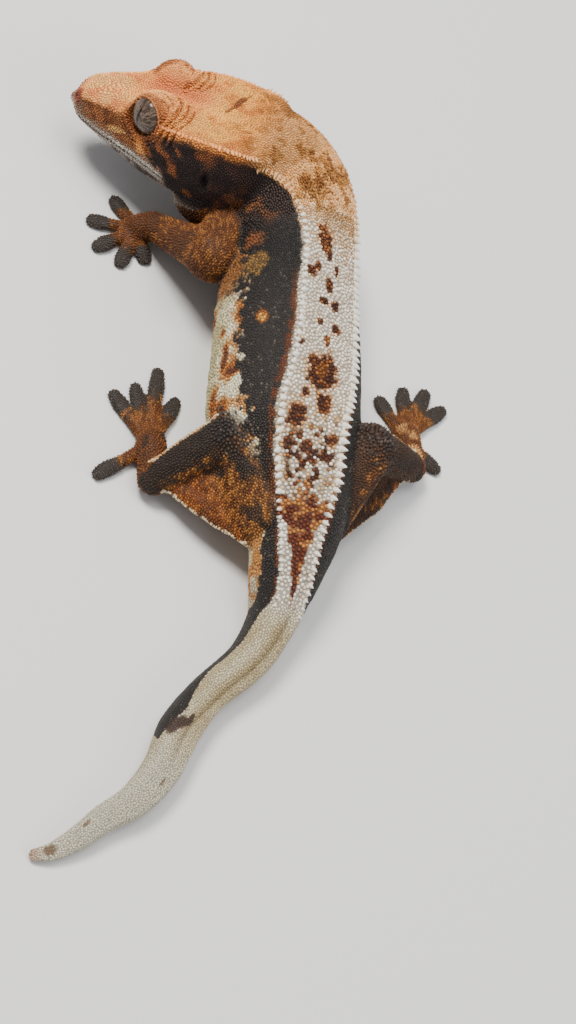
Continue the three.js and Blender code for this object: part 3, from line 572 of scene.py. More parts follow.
def flesh():
    sides, rings = TRUNK_GRID
    along = -1 + np.linspace(0, TRUNK_END + 2, rings + 1)
    place, angle = np.meshgrid(along, circle(sides), indexing="ij")
    pieces = [ring_mesh(trunk_point(place, angle, SUNK))]
    share, angle = grid(*HEAD_GRID)
    front, back = HEAD[0, 0] + HEAD_CAPS["front"], HEAD[-1, 0] - HEAD_CAPS["back"]
    pieces.append(ring_mesh(from_head(head_shape(front + (back - front) * share, angle, SUNK))))
    pieces.append(ellipsoid(FOLD_AT, FOLD_R + SUNK))
    for side in (1, -1):
        at, axis, up, _ = eye_place(side)
        pieces.append(ellipsoid(at - axis * ORBIT_BACK, [ORBIT_R + SUNK] * 3))
        centre = at + axis * (LID["out"] - LID["sunk"])
        pieces.append(torus(centre, axis, up, LID["r"] + LID["wider"], LID["tube"], LID["across"]))
    for limb in LIMBS.values():
        pieces += limb_meshes(limb, SUNK)
    return merged(pieces)


def remeshed(verts, faces, size):
    """One closed surface round everything, as a fresh mesh."""
    mesh = bpy.data.meshes.new("flesh")
    mesh.from_pydata(verts.tolist(), [], faces.tolist())
    obj = bpy.data.objects.new("flesh", mesh)
    bpy.context.scene.collection.objects.link(obj)
    modifier = obj.modifiers.new("remesh", "REMESH")
    modifier.mode = "VOXEL"
    modifier.voxel_size = size
    modifier.adaptivity = 0
    graph = bpy.context.evaluated_depsgraph_get()
    result = bpy.data.meshes.new_from_object(obj.evaluated_get(graph))
    arrays = mesh_arrays(result)
    bpy.data.objects.remove(obj)
    bpy.data.meshes.remove(mesh)
    bpy.data.meshes.remove(result)
    return arrays


def refined(verts, tris, inside):
    """Splits each triangle with all its corners inside into four, and fits its neighbours."""
    edges = np.concatenate([tris[:, [0, 1]], tris[:, [1, 2]], tris[:, [2, 0]]])
    keys, back = np.unique(np.sort(edges, axis=1), axis=0, return_inverse=True)
    split = inside[keys].all(axis=1)
    number = np.full(len(keys), -1)
    number[split] = len(verts) + np.arange(split.sum())
    middles = verts[keys[split]].mean(axis=1)
    half = number[back.reshape(3, -1).T]
    a, b, c = tris.T
    ab, bc, ca = half.T
    count = (half >= 0).sum(axis=1)
    out = [tris[count == 0]]
    m = count == 3
    out.append(np.stack([a, ab, ca], 1)[m])
    out.append(np.stack([ab, b, bc], 1)[m])
    out.append(np.stack([ca, bc, c], 1)[m])
    out.append(np.stack([ab, bc, ca], 1)[m])
    for k in range(3):
        p, q, r = tris[:, k], tris[:, (k + 1) % 3], tris[:, (k + 2) % 3]
        pq, qr = half[:, k], half[:, (k + 1) % 3]
        one = (count == 1) & (pq >= 0)
        out.append(np.stack([p, pq, r], 1)[one])
        out.append(np.stack([pq, q, r], 1)[one])
        two = (count == 2) & (pq >= 0) & (qr >= 0)
        out.append(np.stack([pq, q, qr], 1)[two])
        out.append(np.stack([p, pq, qr], 1)[two])
        out.append(np.stack([p, qr, r], 1)[two])
    return np.concatenate([verts, middles]), np.concatenate(out)


# What each point of the skin is part of
UPPER, LOWER, PALM, TOES, WEB = range(5)
FAR = 1e9
AT_ONCE = 20000
TOE_ROOT = 0.12
TRUNK_PLACES = np.linspace(0, TRUNK_END, 40 * TRUNK_END + 1)


def capsule_distance(points, start, end, r0, r1):
    """Distance to a tapered bone and the share of the way along it."""
    start, end = np.asarray(start, float), np.asarray(end, float)
    run = end - start
    t = np.clip((points - start) @ run / (run @ run), 0, 1)
    gap = points - (start + t[:, None] * run)
    return np.linalg.norm(gap, axis=1) - (r0 + (r1 - r0) * t), t


def web_distance(points, limb):
    knee, ankle = np.array(limb["joints"][1]), np.array(limb["joints"][2])
    root, mid = (np.array(p) for p in limb["web"])
    best = np.full(len(points), FAR)
    for a, b, c in ((knee, ankle, mid), (knee, mid, root)):
        for s in np.linspace(0, 1, 9):
            d, _ = capsule_distance(points, a, b + (c - b) * s, 0, 0)
            best = np.minimum(best, d)
    return best - WEB_THICK


def anatomy(points):
    """Trunk place and angle, head coordinates, and the nearest part of each point."""
    count = len(points)
    middles = trunk_middle(TRUNK_PLACES)
    forward, left, top = trunk_frame(TRUNK_PLACES)
    nearest = np.empty(count, int)
    for at in range(0, count, AT_ONCE):
        gap = (middles ** 2).sum(1) - 2 * points[at:at + AT_ONCE] @ middles.T
        nearest[at:at + AT_ONCE] = gap.argmin(1)
    gap = points - middles[nearest]
    speed = np.linalg.norm(np.gradient(middles, TRUNK_PLACES, axis=0), axis=1)[nearest]
    place = TRUNK_PLACES[nearest] - (gap * forward[nearest]).sum(1) / speed
    place = np.clip(place, -0.9, TRUNK_END + 0.9)
    across = (gap * left[nearest]).sum(1)
    high = (gap * top[nearest]).sum(1)
    angle = np.degrees(np.arctan2(across, high))
    inside = np.clip(place, 0, TRUNK_END)
    trunk_gap = np.hypot(across, high) - trunk_radius(inside, np.radians(angle))
    trunk_gap += 4 * np.maximum(-place, 0)
    head = to_head(points)
    x = np.clip(head[:, 0], HEAD[-1, 0], HEAD[0, 0])
    mid = head_value(HEAD_MIDDLE, x)
    head_angle = np.arctan2(head[:, 1], head[:, 2] - mid)
    w, up, down = (head_value(k, x) for k in (HEAD_HALF, HEAD_ABOVE, HEAD_BELOW))
    head_radius = section_radius(head_angle, w, up, down, HEAD_POWER_TOP, HEAD_POWER_LOW)
    head_gap = np.hypot(head[:, 1], head[:, 2] - mid) - head_radius
    head_gap += 3 * np.abs(head[:, 0] - x) + 2 * np.maximum(-2 - head[:, 0], 0)
    eye_gap = np.full(count, FAR)
    for side in (1, -1):
        eye_gap = np.minimum(eye_gap, np.linalg.norm(points - eye_place(side)[0], axis=1) - ORBIT_R)
    head_gap = np.minimum(head_gap, eye_gap)
    found = {
        "place": place, "angle": angle, "head": head,
        "head_angle": np.degrees(head_angle), "limb": np.full(count, -1),
        "segment": np.full(count, -1), "along": np.zeros(count), "toe": np.full(count, -1),
    }
    body_gap = np.minimum(trunk_gap, head_gap)
    best = body_gap.copy()

    def claim(gap, **values):
        near = gap < best
        best[near] = gap[near]
        for key, value in values.items():
            found[key] = np.where(near, value, found[key])

    for k, limb in enumerate(LIMBS.values()):
        joints, r = limb["joints"], limb["radii"]
        radii = [(r[0], r[1]), (r[1] * BELOW_JOINT, r[3]), (r[3], r[4])]
        for s, ends in enumerate(radii):
            d, t = capsule_distance(points, joints[s], joints[s + 1], *ends)
            claim(d, limb=k, segment=s, along=t)
        for n, tip in enumerate(limb["toes"]):
            d, t = capsule_distance(points, [*joints[3][:2], 1.0], [*tip, 0.7], 0.9, 1.1)
            claim(np.where(t > TOE_ROOT, d, FAR), limb=k, segment=TOES, along=t, toe=n)
        if "web" in limb:
            claim(web_distance(points, limb), limb=k, segment=WEB, along=0.5)
    found["is_head"] = (head_gap < trunk_gap) & (found["limb"] < 0)
    found["body_gap"] = body_gap
    return found


# Relief of the skin
def eye_polar(points, side):
    """Distance from an eye's axis, turn from its upper side towards the back, and depth along it."""
    at, axis, up, back = eye_place(side)
    gap = points - at
    along = gap @ axis
    return np.hypot(gap @ up, gap @ back), np.degrees(np.arctan2(gap @ back, gap @ up)), along


def eye_folds(radius, turn, along):
    """How far a point is among the folds above and behind an eye, and its height on them."""
    away = np.hypot(radius, along)
    window = step(3.7, 4.0, away) * step(7.3, 6.6, away) * (along > -5)
    window = window * step(-15, 20, turn) * step(118, 92, turn)
    return window, np.cos((away - FOLDS["first"]) / FOLDS["apart"] * 2 * np.pi)


def head_relief(points, found):
    head = found["head"]
    x, y, z = head.T
    out = np.zeros(len(points))
    side = np.abs(y)
    lip = z - mouth_height(x)
    front = step(9.4, 10.6, x) * found["is_head"]
    out += front * (0.16 * bell(lip - 0.55, 0.4) + 0.12 * bell(lip + 0.5, 0.4) - 0.42 * bell(lip, 0.17))
    gap = np.hypot(np.hypot(x - NOSTRIL[0], side - NOSTRIL[1]), z - NOSTRIL[2])
    out += 0.14 * bell(gap - 0.8, 0.28) - 0.8 * bell(gap, 0.42)
    ear = np.hypot((x - EAR[0]) / 0.75, (z - EAR[2]) / 1.6)
    out += (side > 6) * (-0.9 * bell(ear, 0.9) + 0.15 * bell(ear - 1.4, 0.3))
    out -= 0.45 * bell(x - 20.5, 2.6) * bell(z - 2.9, 1.4) * (side > 2.5)
    ridge = 5.6 - 0.16 * (x - 18)
    out += 0.3 * bell(z - ridge, 0.55) * step(17, 19, x) * step(28, 26, x) * (side > 1.5)
    for s in (1, -1):
        radius, turn, along = eye_polar(points, s)
        here = (along > -2.5) & found["is_head"]
        window, wave = eye_folds(radius, turn, along)
        out += found["is_head"] * window * 0.34 * wave
        under = step(100, 125, np.abs(turn)) * step(3.6, 3.9, radius) * step(5.2, 4.6, radius)
        out += here * under * 0.14 * np.cos((radius - 4.2) / 0.6 * 2 * np.pi)
    return out


def body_relief(points, found):
    place, angle = found["place"], found["angle"]
    trunk = (found["limb"] < 0) & ~found["is_head"]
    out = np.zeros(len(points))
    furrow = -8 + tail_turn(place) - 10 * step(13, 15, place)
    out -= trunk * 0.42 * bell(angle - furrow, 10) * step(13.5, 15, place) * step(20.5, 19, place)
    folds = np.cos(place / 0.42 * 2 * np.pi + 1.4 * np.sin(np.radians(angle) * 3))
    out += trunk * 0.06 * folds * step(60, 85, np.abs(angle)) * step(4.5, 6, place) * step(12, 10.5, place)
    neck = np.cos((place + angle / 90) / 0.5 * 2 * np.pi)
    out += trunk * 0.1 * neck * step(60, 80, np.abs(angle)) * step(1, 2, place) * step(5, 4, place)
    out += 0.22 * (rough_noise(points, 2.4, 31) - 0.5)
    limb = found["limb"] >= 0
    return out + limb * 0.3 * (rough_noise(points * np.array([1, 1, 1.4]), 1.5, 37) - 0.5)


SMOOTHING = {"rounds": 12, "pull": 0.12, "fill": 0.55, "back": 0.13}
FINE_HEAD = {"from": 7.5, "wide": 12, "low": -4.5}


def build_skin():
    verts, tris = remeshed(*flesh(), VOXEL)
    smoother = Smoother(tris, len(verts))
    for turn in range(SMOOTHING["rounds"]):
        normal = vertex_normals(verts, tris)
        pull = smoother.pull(verts)
        filling = np.maximum((pull * normal).sum(1), 0)
        verts = verts + pull * SMOOTHING["pull"] + normal * filling[:, None] * SMOOTHING["fill"]
        if turn % 2:
            verts = verts - SMOOTHING["back"] * smoother.pull(verts)
    x, y, z = to_head(verts).T
    fine = (x > FINE_HEAD["from"]) & (np.abs(y) < FINE_HEAD["wide"]) & (z > FINE_HEAD["low"])
    verts, tris = refined(verts, tris, fine)
    found = anatomy(verts)
    normal = vertex_normals(verts, tris)
    move = head_relief(verts, found) + body_relief(verts, found)
    verts = verts + normal * move[:, None]
    for side in (1, -1):
        radius, _, along = eye_polar(verts, side)
        ball = np.sqrt(np.maximum(EYE_R ** 2 - radius ** 2, 0)) - SOCKET["gap"]
        sunk = np.where((radius < SOCKET["r"]) & (along > 0), np.maximum(along - ball, 0), 0)
        verts = verts - sunk[:, None] * eye_place(side)[1]
    verts[:, 2] = np.maximum(verts[:, 2], 0.02)
    return verts, tris


# Colours, as seen in daylight
def rgb(r, g, b):
    return np.array([r, g, b]) / 255


def linear(colour):
    return np.clip(colour, 0, 1) ** 2.2


TAN = rgb(190, 146, 96)
MOTTLE = rgb(140, 96, 48)
UMBER = rgb(50, 39, 35)
CHARCOAL = rgb(40, 36, 33)
RUST = rgb(136, 84, 42)
DARK_RUST = rgb(70, 40, 22)
CREAM = rgb(226, 216, 200)
FLANK = rgb(214, 208, 184)
OLIVE = rgb(150, 142, 104)
ORANGE = rgb(158, 110, 62)
LIP = rgb(206, 198, 186)
BELLY = rgb(206, 190, 160)
PAD = rgb(66, 60, 56)

# Blotches of the back: place, angle, half length and half width in mm, how far the core shows
BLOTCHES = [
    (4.7, 12, 2.7, 1.5, 0.9),
    (4.35, 16, 0.8, 0.6, 0.0),
    (5.2, 7, 0.8, 0.7, 0.0),
    (6.0, 25, 0.9, 1.3, 0.0),
    (5.75, 18, 0.9, 0.6, 0.0),
    (5.6, -4, 1.3, 0.6, 0.0),
    (6.2, 4, 1.5, 0.8, 0.0),
    (6.9, 8, 0.7, 1.1, 0.0),
    (6.9, -4, 1.2, 1.1, 0.0),
    (7.75, -6, 1.1, 1.0, 0.0),
    (7.7, 12, 0.6, 0.7, 0.6),
    (8.2, 2, 1.3, 0.6, 0.9),
    (8.5, 27, 0.7, 0.7, 0.0),
    (9.05, 3, 3.1, 3.3, 0.5),
    (9.75, 13, 1.0, 1.0, 0.0),
    (10.0, -6, 2.4, 1.5, 0.1),
    (10.3, 17, 1.6, 1.8, 0.1),
    (11.0, -20, 1.0, 1.0, 0.1),
    (11.0, 23, 0.8, 0.9, 0.1),
    (11.1, 5, 1.0, 1.0, 0.1),
]
# Rust blotches of both flanks: place, angle, half length and half width
FLANK_BLOTCHES = [
    (7.6, 77, 1.5, 0.8),
    (8.0, 93, 0.8, 0.5),
    (8.8, 85, 2.3, 0.6),
    (9.2, 74, 1.0, 1.3),
    (9.7, 91, 1.1, 0.9),
    (10.1, 79, 1.4, 1.2),
    (6.3, 103, 1.2, 0.7),
    (7.2, 115, 1.6, 0.8),
    (9.0, 119, 1.8, 0.8),
    (10.4, 107, 1.2, 0.8),
]
# Brown patches of the dark shoulder, and the dark hook and spots of the tail, in the same way
SHOULDER_PATCHES = [
    (3.1, 80, 3.0, 2.6), (1.5, 98, 3.0, 2.6), (4.9, 80, 2.4, 2.2), (2.3, 108, 2.0, 2.0), (0.9, 82, 2.0, 1.2),
]
TAIL_HOOK = [(18.9, 14, 1.3, 0.5), (19.05, 30, 1.0, 0.7), (19.2, 48, 1.2, 0.9)]
TAIL_SPOTS = [(20.4, -10, 0.9, 0.4), (24.1, 5, 1.3, 0.9), (22.6, 30, 0.9, 0.4)]
# Edges of the dark band: place and angle of its lower edge, and how far its upper edge leaves the crest row
BAND_LOW = np.array([
    [3.4, 178], [4.2, 140], [5.0, 100], [5.7, 82], [6.2, 84], [7.1, 77], [8.2, 74], [8.8, 71], [9.4, 65],
    [9.9, 59], [10.4, 53], [11.0, 47], [11.8, 50], [13.3, 56], [14.4, 63], [15.4, 76], [16.2, 125],
    [19.3, 125], [19.7, 30],
])
BAND_TOP = np.array([[15.2, 0], [16.2, 24], [17.8, 28], [18.2, 14], [18.8, -6], [19.2, 12], [19.7, 40]])


def toward(colour, target, weight):
    return colour + (target - colour) * np.clip(weight, 0, 1)[:, None]


def mottled(points, size, seed, low, high, more=0.0):
    """From 0 to 1 where rough noise, with more added, rises from low to high."""
    return step(low, high, rough_noise(points, size, seed) + more)


def tail_turn(place):
    """Degrees by which the tail's furrow and markings turn where it bends."""
    return 20 * step(18, 19.5, place)


class Paint:
    """Colours laid over one another, each by its own weight from 0 to 1."""

    def __init__(self, colour, count=1):
        self.colour = np.tile(colour, (count, 1))

    def add(self, colour, weight):
        self.colour = toward(self.colour, colour, weight)
        return self.colour


def blob(found, place, angle, long, wide):
    """Distance from the middle of an oval on the trunk, 1 at its edge."""
    inside = np.clip(found["place"], 0, TRUNK_END)
    girth = trunk_value(HALF, inside)
    pace = np.linalg.norm(trunk_middle(np.array(place + 0.5)) - trunk_middle(np.array(place - 0.5)))
    along = (found["place"] - place) * pace / long
    across = np.radians(found["angle"] - angle) * girth / wide
    return np.hypot(along, across)


def back_colour(points, found, fleck):
    """Colours between the crest rows: pale stripe, blotches, patch over the hips, tail."""
    place, angle = found["place"], found["angle"]
    crest = crest_angle(place)
    ragged = rough_noise(points, 1.3, 3) - 0.5
    fine = noise(points, 0.6, 5) - 0.5
    soft = rough_noise(points, 4.6, 9)
    paint = Paint(CREAM, len(points))
    paint.add(rgb(184, 166, 144), step(0.45, 0.95, fleck) * 0.7)
    lower = step(9.2, 10.6, place) * step(12.5, 11.9, place)
    paint.add(rgb(188, 148, 96), lower * step(0.35, 0.9, fleck) * 0.75)
    warm = step(5.0, 2.6, place + 1.2 * (soft - 0.5))
    paint.add(TAN, step(6.4, 4.0, place) * step(0.3, 0.9, fleck) * 0.6)
    paint.add(rgb(196, 142, 88), warm * (0.72 + 0.28 * fleck))
    paint.add(MOTTLE, warm * step(0.47, 0.6, soft + 0.4 * fine) * 0.85)
    paint.add(rgb(96, 62, 34), warm * step(0.62, 0.72, soft + 0.5 * fine) * 0.8)
    paint.add(rgb(226, 166, 110), step(1.6, 0.0, place) * 0.8)
    hue = toward(np.tile(rgb(62, 34, 18), (len(points), 1)), RUST, step(0.5, 1.0, fleck) * 0.75)
    for *oval, core in BLOTCHES:
        d = blob(found, *oval) + 1.1 * ragged + 0.5 * fine
        paint.add(rgb(186, 130, 84), step(1.3, 1.0, d) * 0.6)
        paint.add(hue, step(1.02, 0.84, d))
        paint.add(rgb(188, 128, 66), step(0.66, 0.3, d) * core * (0.5 + 0.5 * fleck))
    speckle = step(10.3, 10.9, place) * step(12.4, 11.9, place) * step(crest - 3, crest - 10, np.abs(angle))
    paint.add(hue, speckle * step(0.52, 0.62, noise(points, 0.85, 12) + 0.3 * (fleck - 0.5)))
    half = 8 * step(14.4, 13.6, place) + 15 * step(13.5, 12.9, place) + 6 * step(15.4, 14.4, place) + 3
    sacral = step(12.25, 12.5, place + ragged * 1.3 + 0.5 * fine) * step(15.7, 15.2, place)
    sacral = sacral * step(1.1, 0.9, np.abs(angle - 1) / half + 0.8 * ragged)
    paint.add(rgb(158, 108, 62), sacral)
    paint.add(rgb(78, 36, 18), sacral * step(0.4, 0.52, noise(points, 1.0, 14) + 0.25 * (fleck - 0.5)) * 0.9)
    tail = step(15.4, 16.4, place)
    paint.add(rgb(188, 174, 142), tail)
    paint.add(rgb(160, 142, 108), tail * mottled(points, 3.2, 16, 0.42, 0.75) * 0.5)
    # Painted shade along the tail's furrow, and a painted highlight along the ridge beside it
    furrow = bell(angle + 8 - tail_turn(place), 12) * step(21, 19, place)
    paint.add(rgb(136, 118, 86), tail * furrow * 0.6)
    paint.add(rgb(222, 212, 188), tail * bell(angle - 26 - tail_turn(place), 12) * 0.5)
    return paint.add(rgb(204, 198, 182), step(18.6, 20.5, place) * 0.75)


def side_colour(points, found, fleck):
    """Colours below the crest rows: dark band, pale flank, belly."""
    place, angle = found["place"], np.abs(found["angle"])
    left = found["angle"] > 0
    crest = crest_angle(place)
    ragged = rough_noise(points, 1.9, 23) - 0.5
    fine = noise(points, 0.7, 25) - 0.5
    paint = Paint(FLANK, len(points))
    paint.add(rgb(196, 176, 138), step(0.5, 0.9, fleck) * 0.6)
    paint.add(OLIVE, step(84, 102, angle + 36 * ragged + 10 * fine) * 0.8)
    paint.add(BELLY, step(120, 140, angle))
    both = {"place": place, "angle": angle}
    for at, turn, long, wide in FLANK_BLOTCHES:
        d = blob(both, at, turn, long * 1.25, wide * 1.35) + 1.3 * ragged + 0.6 * fine
        paint.add(rgb(172, 122, 70), step(1.6, 1.1, d) * 0.8)
        paint.add(RUST, step(1.15, 0.9, d))
        paint.add(DARK_RUST, step(0.85, 0.5, d) * 0.85)
    paint.add(rgb(186, 172, 142), step(10.5, 11.5, place) * 0.8)
    paint.add(ORANGE, step(10.5, 11.5, place) * mottled(points, 2.2, 27, 0.46, 0.56) * 0.9)
    low = np.interp(place, BAND_LOW[:, 0], BAND_LOW[:, 1])
    low = np.where(left, low, np.minimum(low, crest + 34 + 40 * step(5, 2, place)))
    low = np.where(left | (place < TAIL_START), low, crest)
    low = np.where(~left & (place > 10.2) & (place < TAIL_START), 115, low)
    edge = angle - low + 24 * ragged + 8 * fine
    band = step(2.5, -1.0, edge) * step(19.9, 19.6, place + 0.4 * ragged)
    rim = step(11, 5, edge) * step(5, 6, place) * step(15, 14, place) * mottled(points, 2.4, 29, 0.42, 0.56)
    paint.add(rgb(150, 96, 50), rim * 0.8)
    dark = toward(np.tile(CHARCOAL, (len(points), 1)), rgb(92, 84, 74), step(0.84, 1, fleck) * 0.7)
    paint.add(dark * (1 - 0.3 * step(8, 4.5, place))[:, None], band)
    line = bell(angle - low - 7, 4) * (~left) * step(7.4, 8.4, place) * step(10.4, 9.8, place)
    paint.add(CREAM, line)
    shoulder = step(4.9, 3.6, place) * step(150, 120, angle)
    paint.add(UMBER, shoulder * 0.92)
    lower = step(crest + 14, crest + 24, angle)
    patch = mottled(points, 3.4, 41, 0.56, 0.66, 0.2 * fine)
    paint.add(rgb(104, 68, 42), shoulder * patch * lower * 0.7)
    for patch in SHOULDER_PATCHES:
        d = blob(found, *patch) + 1.5 * ragged + 0.7 * fine
        paint.add(rgb(122, 78, 48), step(1.2, 0.5, d) * 0.8)
    spot = blob(found, 7.8, 58, 1.4, 1.1) + 0.9 * ragged
    paint.add(rgb(112, 66, 30), step(1.2, 0.95, spot))
    paint.add(rgb(196, 150, 80), step(0.9, 0.6, spot) * step(0.1, 0.6, fleck))
    early = step(7.0, 6.2, place + 0.8 * ragged) * (1 - band) * step(3, 4, place)
    paint.add(rgb(116, 80, 48), early)
    paint.add(CHARCOAL, early * mottled(points, 1.8, 45, 0.46, 0.6) * 0.85)
    near_elbow = blob(found, 5.9, 74, 2.4, 2.4) + 1.3 * ragged + 0.4 * fine
    paint.add(rgb(128, 98, 56), step(1.15, 0.8, near_elbow) * (0.5 + 0.4 * step(0.3, 0.7, fleck)))
    tail = step(15.2, 16.2, place) * (1 - band)
    paint.add(rgb(182, 168, 140), tail)
    spots = mottled(points, 2.0, 43, 0.6, 0.68) * step(19.5, 20.5, place)
    paint.add(rgb(122, 94, 66), spots * 0.5)
    return paint.colour


def trunk_colour(points, found, fleck):
    """The pale back, the sides below it, and the marks that cross from one to the other."""
    place = found["place"]
    crest = crest_angle(place)
    ragged = rough_noise(points, 1.2, 51) - 0.5
    extra = np.interp(place, BAND_TOP[:, 0], BAND_TOP[:, 1])
    over = np.abs(found["angle"]) - crest - 4 - extra + 5 * ragged
    over = np.where(place > TAIL_START, np.where(found["angle"] > 0, over, -60), over)
    below = step(-1.2, 1.6, over)
    back = back_colour(points, found, fleck)
    side = side_colour(points, found, fleck)
    edge = bell(over - 2.5, 2.6) * step(5.5, 7, place) * step(16, 15, place)
    side = toward(side, rgb(96, 52, 26), edge * mottled(points, 1.4, 53, 0.3, 0.5) * 0.85)
    paint = Paint(toward(back, side, below))
    for patch in TAIL_HOOK:
        hook = blob(found, *patch) + 0.8 * ragged
        paint.add(rgb(62, 48, 42), step(1.25, 0.8, hook) * 0.9)
    for spot in TAIL_SPOTS:
        d = blob(found, *spot) + 1.2 * ragged
        paint.add(rgb(104, 80, 60), step(1.1, 0.6, d) * 0.75)
    return paint.add(rgb(190, 152, 130), step(24.3, 25.4, place) * 0.8)


# Orange patches on the side of the head: x, z, length, width and strength
HEAD_PATCHES = [
    (9.0, 1.3, 4.1, 1.0, 0.8),
    (13.6, 1.7, 1.7, 0.8, 0.8),
    (7.8, 4.2, 1.4, 0.5, 0.7),
    (5.6, -3.6, 1.4, 0.8, 0.6),
    (-2.8, -2.4, 2.8, 1.9, 0.5),
    (-0.4, -4.8, 2.0, 1.5, 0.4),
]


def head_colour(points, found):
    """Warm crown and snout, dark temple, pale lips, and the rings of the eye folds, with painted highlights
    on the brow, snout and folds and painted shade in the hollows.
    """
    x, y, z = found["head"].T
    turn = np.abs(found["head_angle"])
    ragged = rough_noise(points, 1.7, 61) - 0.5
    fine = noise(points, 0.6, 63) - 0.5
    soft = rough_noise(points, 3.6, 65)
    paint = Paint(rgb(255, 184, 112), len(points))
    paint.add(rgb(250, 182, 100), step(9, 1, x))
    paint.add(rgb(204, 144, 82), step(2, -5, x + 4 * (soft - 0.5)) * 0.7)
    paint.add(rgb(188, 116, 60), step(0.5, 0.66, soft + 0.2 * fine) * step(14, 3, x) * 0.65)
    mottle = mottled(points, 2.4, 66, 0.5, 0.64, 0.25 * fine) * step(3.5, -3, x)
    paint.add(rgb(146, 96, 48), mottle * 0.7)
    # Painted shade in the valley between the brows, on its right side
    paint.add(rgb(214, 128, 84), bell(y + 1.0, 3.0) * step(4, 9, x) * step(20, 15, x) * step(3, 5, z) * 0.8)
    # Painted highlights on the top of the brows and of the snout
    paint.add(rgb(255, 186, 122), bell(x - 13, 3.4) * bell(np.abs(y) - 5.4, 2.2) * step(6, 8, z) * 0.9)
    paint.add(rgb(255, 188, 126), step(18, 22, x) * step(3, 4.6, z))
    paint.add(rgb(214, 134, 84), mottled(points, 1.8, 67, 0.46, 0.64) * step(16, 19, x) * 0.6)
    along = -(x - 1.7) * 0.325 - (y + 2.85) * 0.946
    across = (x - 1.7) * 0.946 - (y + 2.85) * 0.325
    streak = np.hypot(along / 3.3, across / 0.55) + 1.5 * ragged + 0.7 * fine
    paint.add(rgb(112, 66, 44), step(1.0, 0.6, streak) * (turn < 70) * 0.85)
    cheek = step(6.2, 4.6, z + 0.16 * (x - 18) + 1.2 * ragged) * step(14.5, 17, x)
    paint.add(rgb(164, 110, 72), cheek)
    paint.add(rgb(108, 68, 44), cheek * mottled(points, 1.5, 69, 0.42, 0.68, 0.3 * fine) * 0.75)
    yellow = np.hypot((x - 19.6) / 2.4, (z - 2.0 + 0.25 * (x - 19)) / 0.55) + 1.0 * ragged
    paint.add(rgb(214, 172, 112), step(1.1, 0.6, yellow) * (turn > 55) * 0.9)
    tip = step(24.5, 27.6, x) * step(4.0, 2.2, z)
    paint.add(rgb(138, 116, 104), tip * 0.8)
    nostril = np.hypot(np.hypot(x - NOSTRIL[0], np.abs(y) - NOSTRIL[1]), z - NOSTRIL[2])
    paint.add(rgb(128, 64, 48), step(2.0, 0.9, nostril + ragged) * 0.8)
    # Painted shade in the nostril's opening
    paint.add(rgb(40, 20, 16), step(0.6, 0.35, nostril))
    crest = HEAD_CREST["angle"]
    below = step(crest + 3, crest + 10, turn + 8 * ragged)
    paint.add(rgb(206, 132, 76), step(crest - 8, crest + 3, turn) * step(13, 11, x) * 0.6)
    temple = below * step(14.2, 12.4, x - 0.25 * z)
    paint.add(rgb(46, 34, 31), temple)
    paint.add(rgb(78, 52, 42), temple * mottled(points, 2.6, 73, 0.5, 0.7) * 0.6)
    for cx, cz, long, wide, strength in HEAD_PATCHES:
        slant = (x - cx) * 0.676 + (z - cz) * 0.737
        other = (z - cz) * 0.676 - (x - cx) * 0.737
        d = np.hypot(slant / long, other / wide) + 1.7 * ragged + 0.6 * fine
        paint.add(rgb(168, 106, 64), step(1.15, 0.5, d) * step(60, 70, turn) * strength)
    lip = z - mouth_height(x)
    front = step(9.0, 11.0, x)
    side = step(55, 62, turn)
    paint.add(rgb(160, 130, 108), front * side * step(2.0, 1.1, lip + fine + ragged))
    paint.add(LIP * 0.97, front * side * step(1.15, 0.6, lip + 0.6 * fine) * (1 - 0.35 * step(18, 26, x)))
    jaw = front * step(-0.7, -1.4, lip + 0.8 * ragged)
    paint.add(rgb(140, 130, 124), jaw)
    paint.add(rgb(60, 48, 43), jaw * mottled(points, 1.6, 71, 0.46, 0.6) * step(-0.8, -2.2, lip) * 0.85)
    paint.add(rgb(84, 62, 54), front * bell(lip, 0.14))
    paint.add(rgb(168, 156, 140), step(-5.5, -7, z) * 0.8)
    radius, around = np.full(len(points), FAR), np.zeros(len(points))
    window, wave = np.zeros(len(points)), np.zeros(len(points))
    for s in (1, -1):
        r, a, along = eye_polar(points, s)
        inside, height = eye_folds(r, a, along)
        wave = np.where(inside > window, height, wave)
        window = np.maximum(window, inside)
        r = r + 3 * step(0.5, -2.0, along)
        radius, around = np.where(r < radius, r, radius), np.where(r < radius, a, around)
    rear = bell(around - 85, 65)
    paint.add(rgb(176, 108, 64), step(6.2, 4.4, radius) * rear * 0.6)
    # Painted highlight on the tops of the eye folds and painted shade in their grooves
    paint.add(rgb(226, 152, 92), window * step(0, 1, wave) * 0.6)
    paint.add(rgb(104, 54, 32), window * step(0, -0.95, wave) * 0.8)
    paint.add(rgb(146, 88, 54), step(4.0, 3.5, radius) * 0.7)
    # Painted shade on the skin inside the lids, round the eyeball
    paint.add(rgb(60, 40, 32), step(2.95, 2.75, radius) * 0.9)
    ear = np.hypot((x - EAR[0]) / 0.7, (z - EAR[2]) / 1.5)
    # Painted shade in the ear opening
    return paint.add(rgb(30, 22, 20), step(1.0, 0.6, ear) * (np.abs(y) > 7) * 0.8)


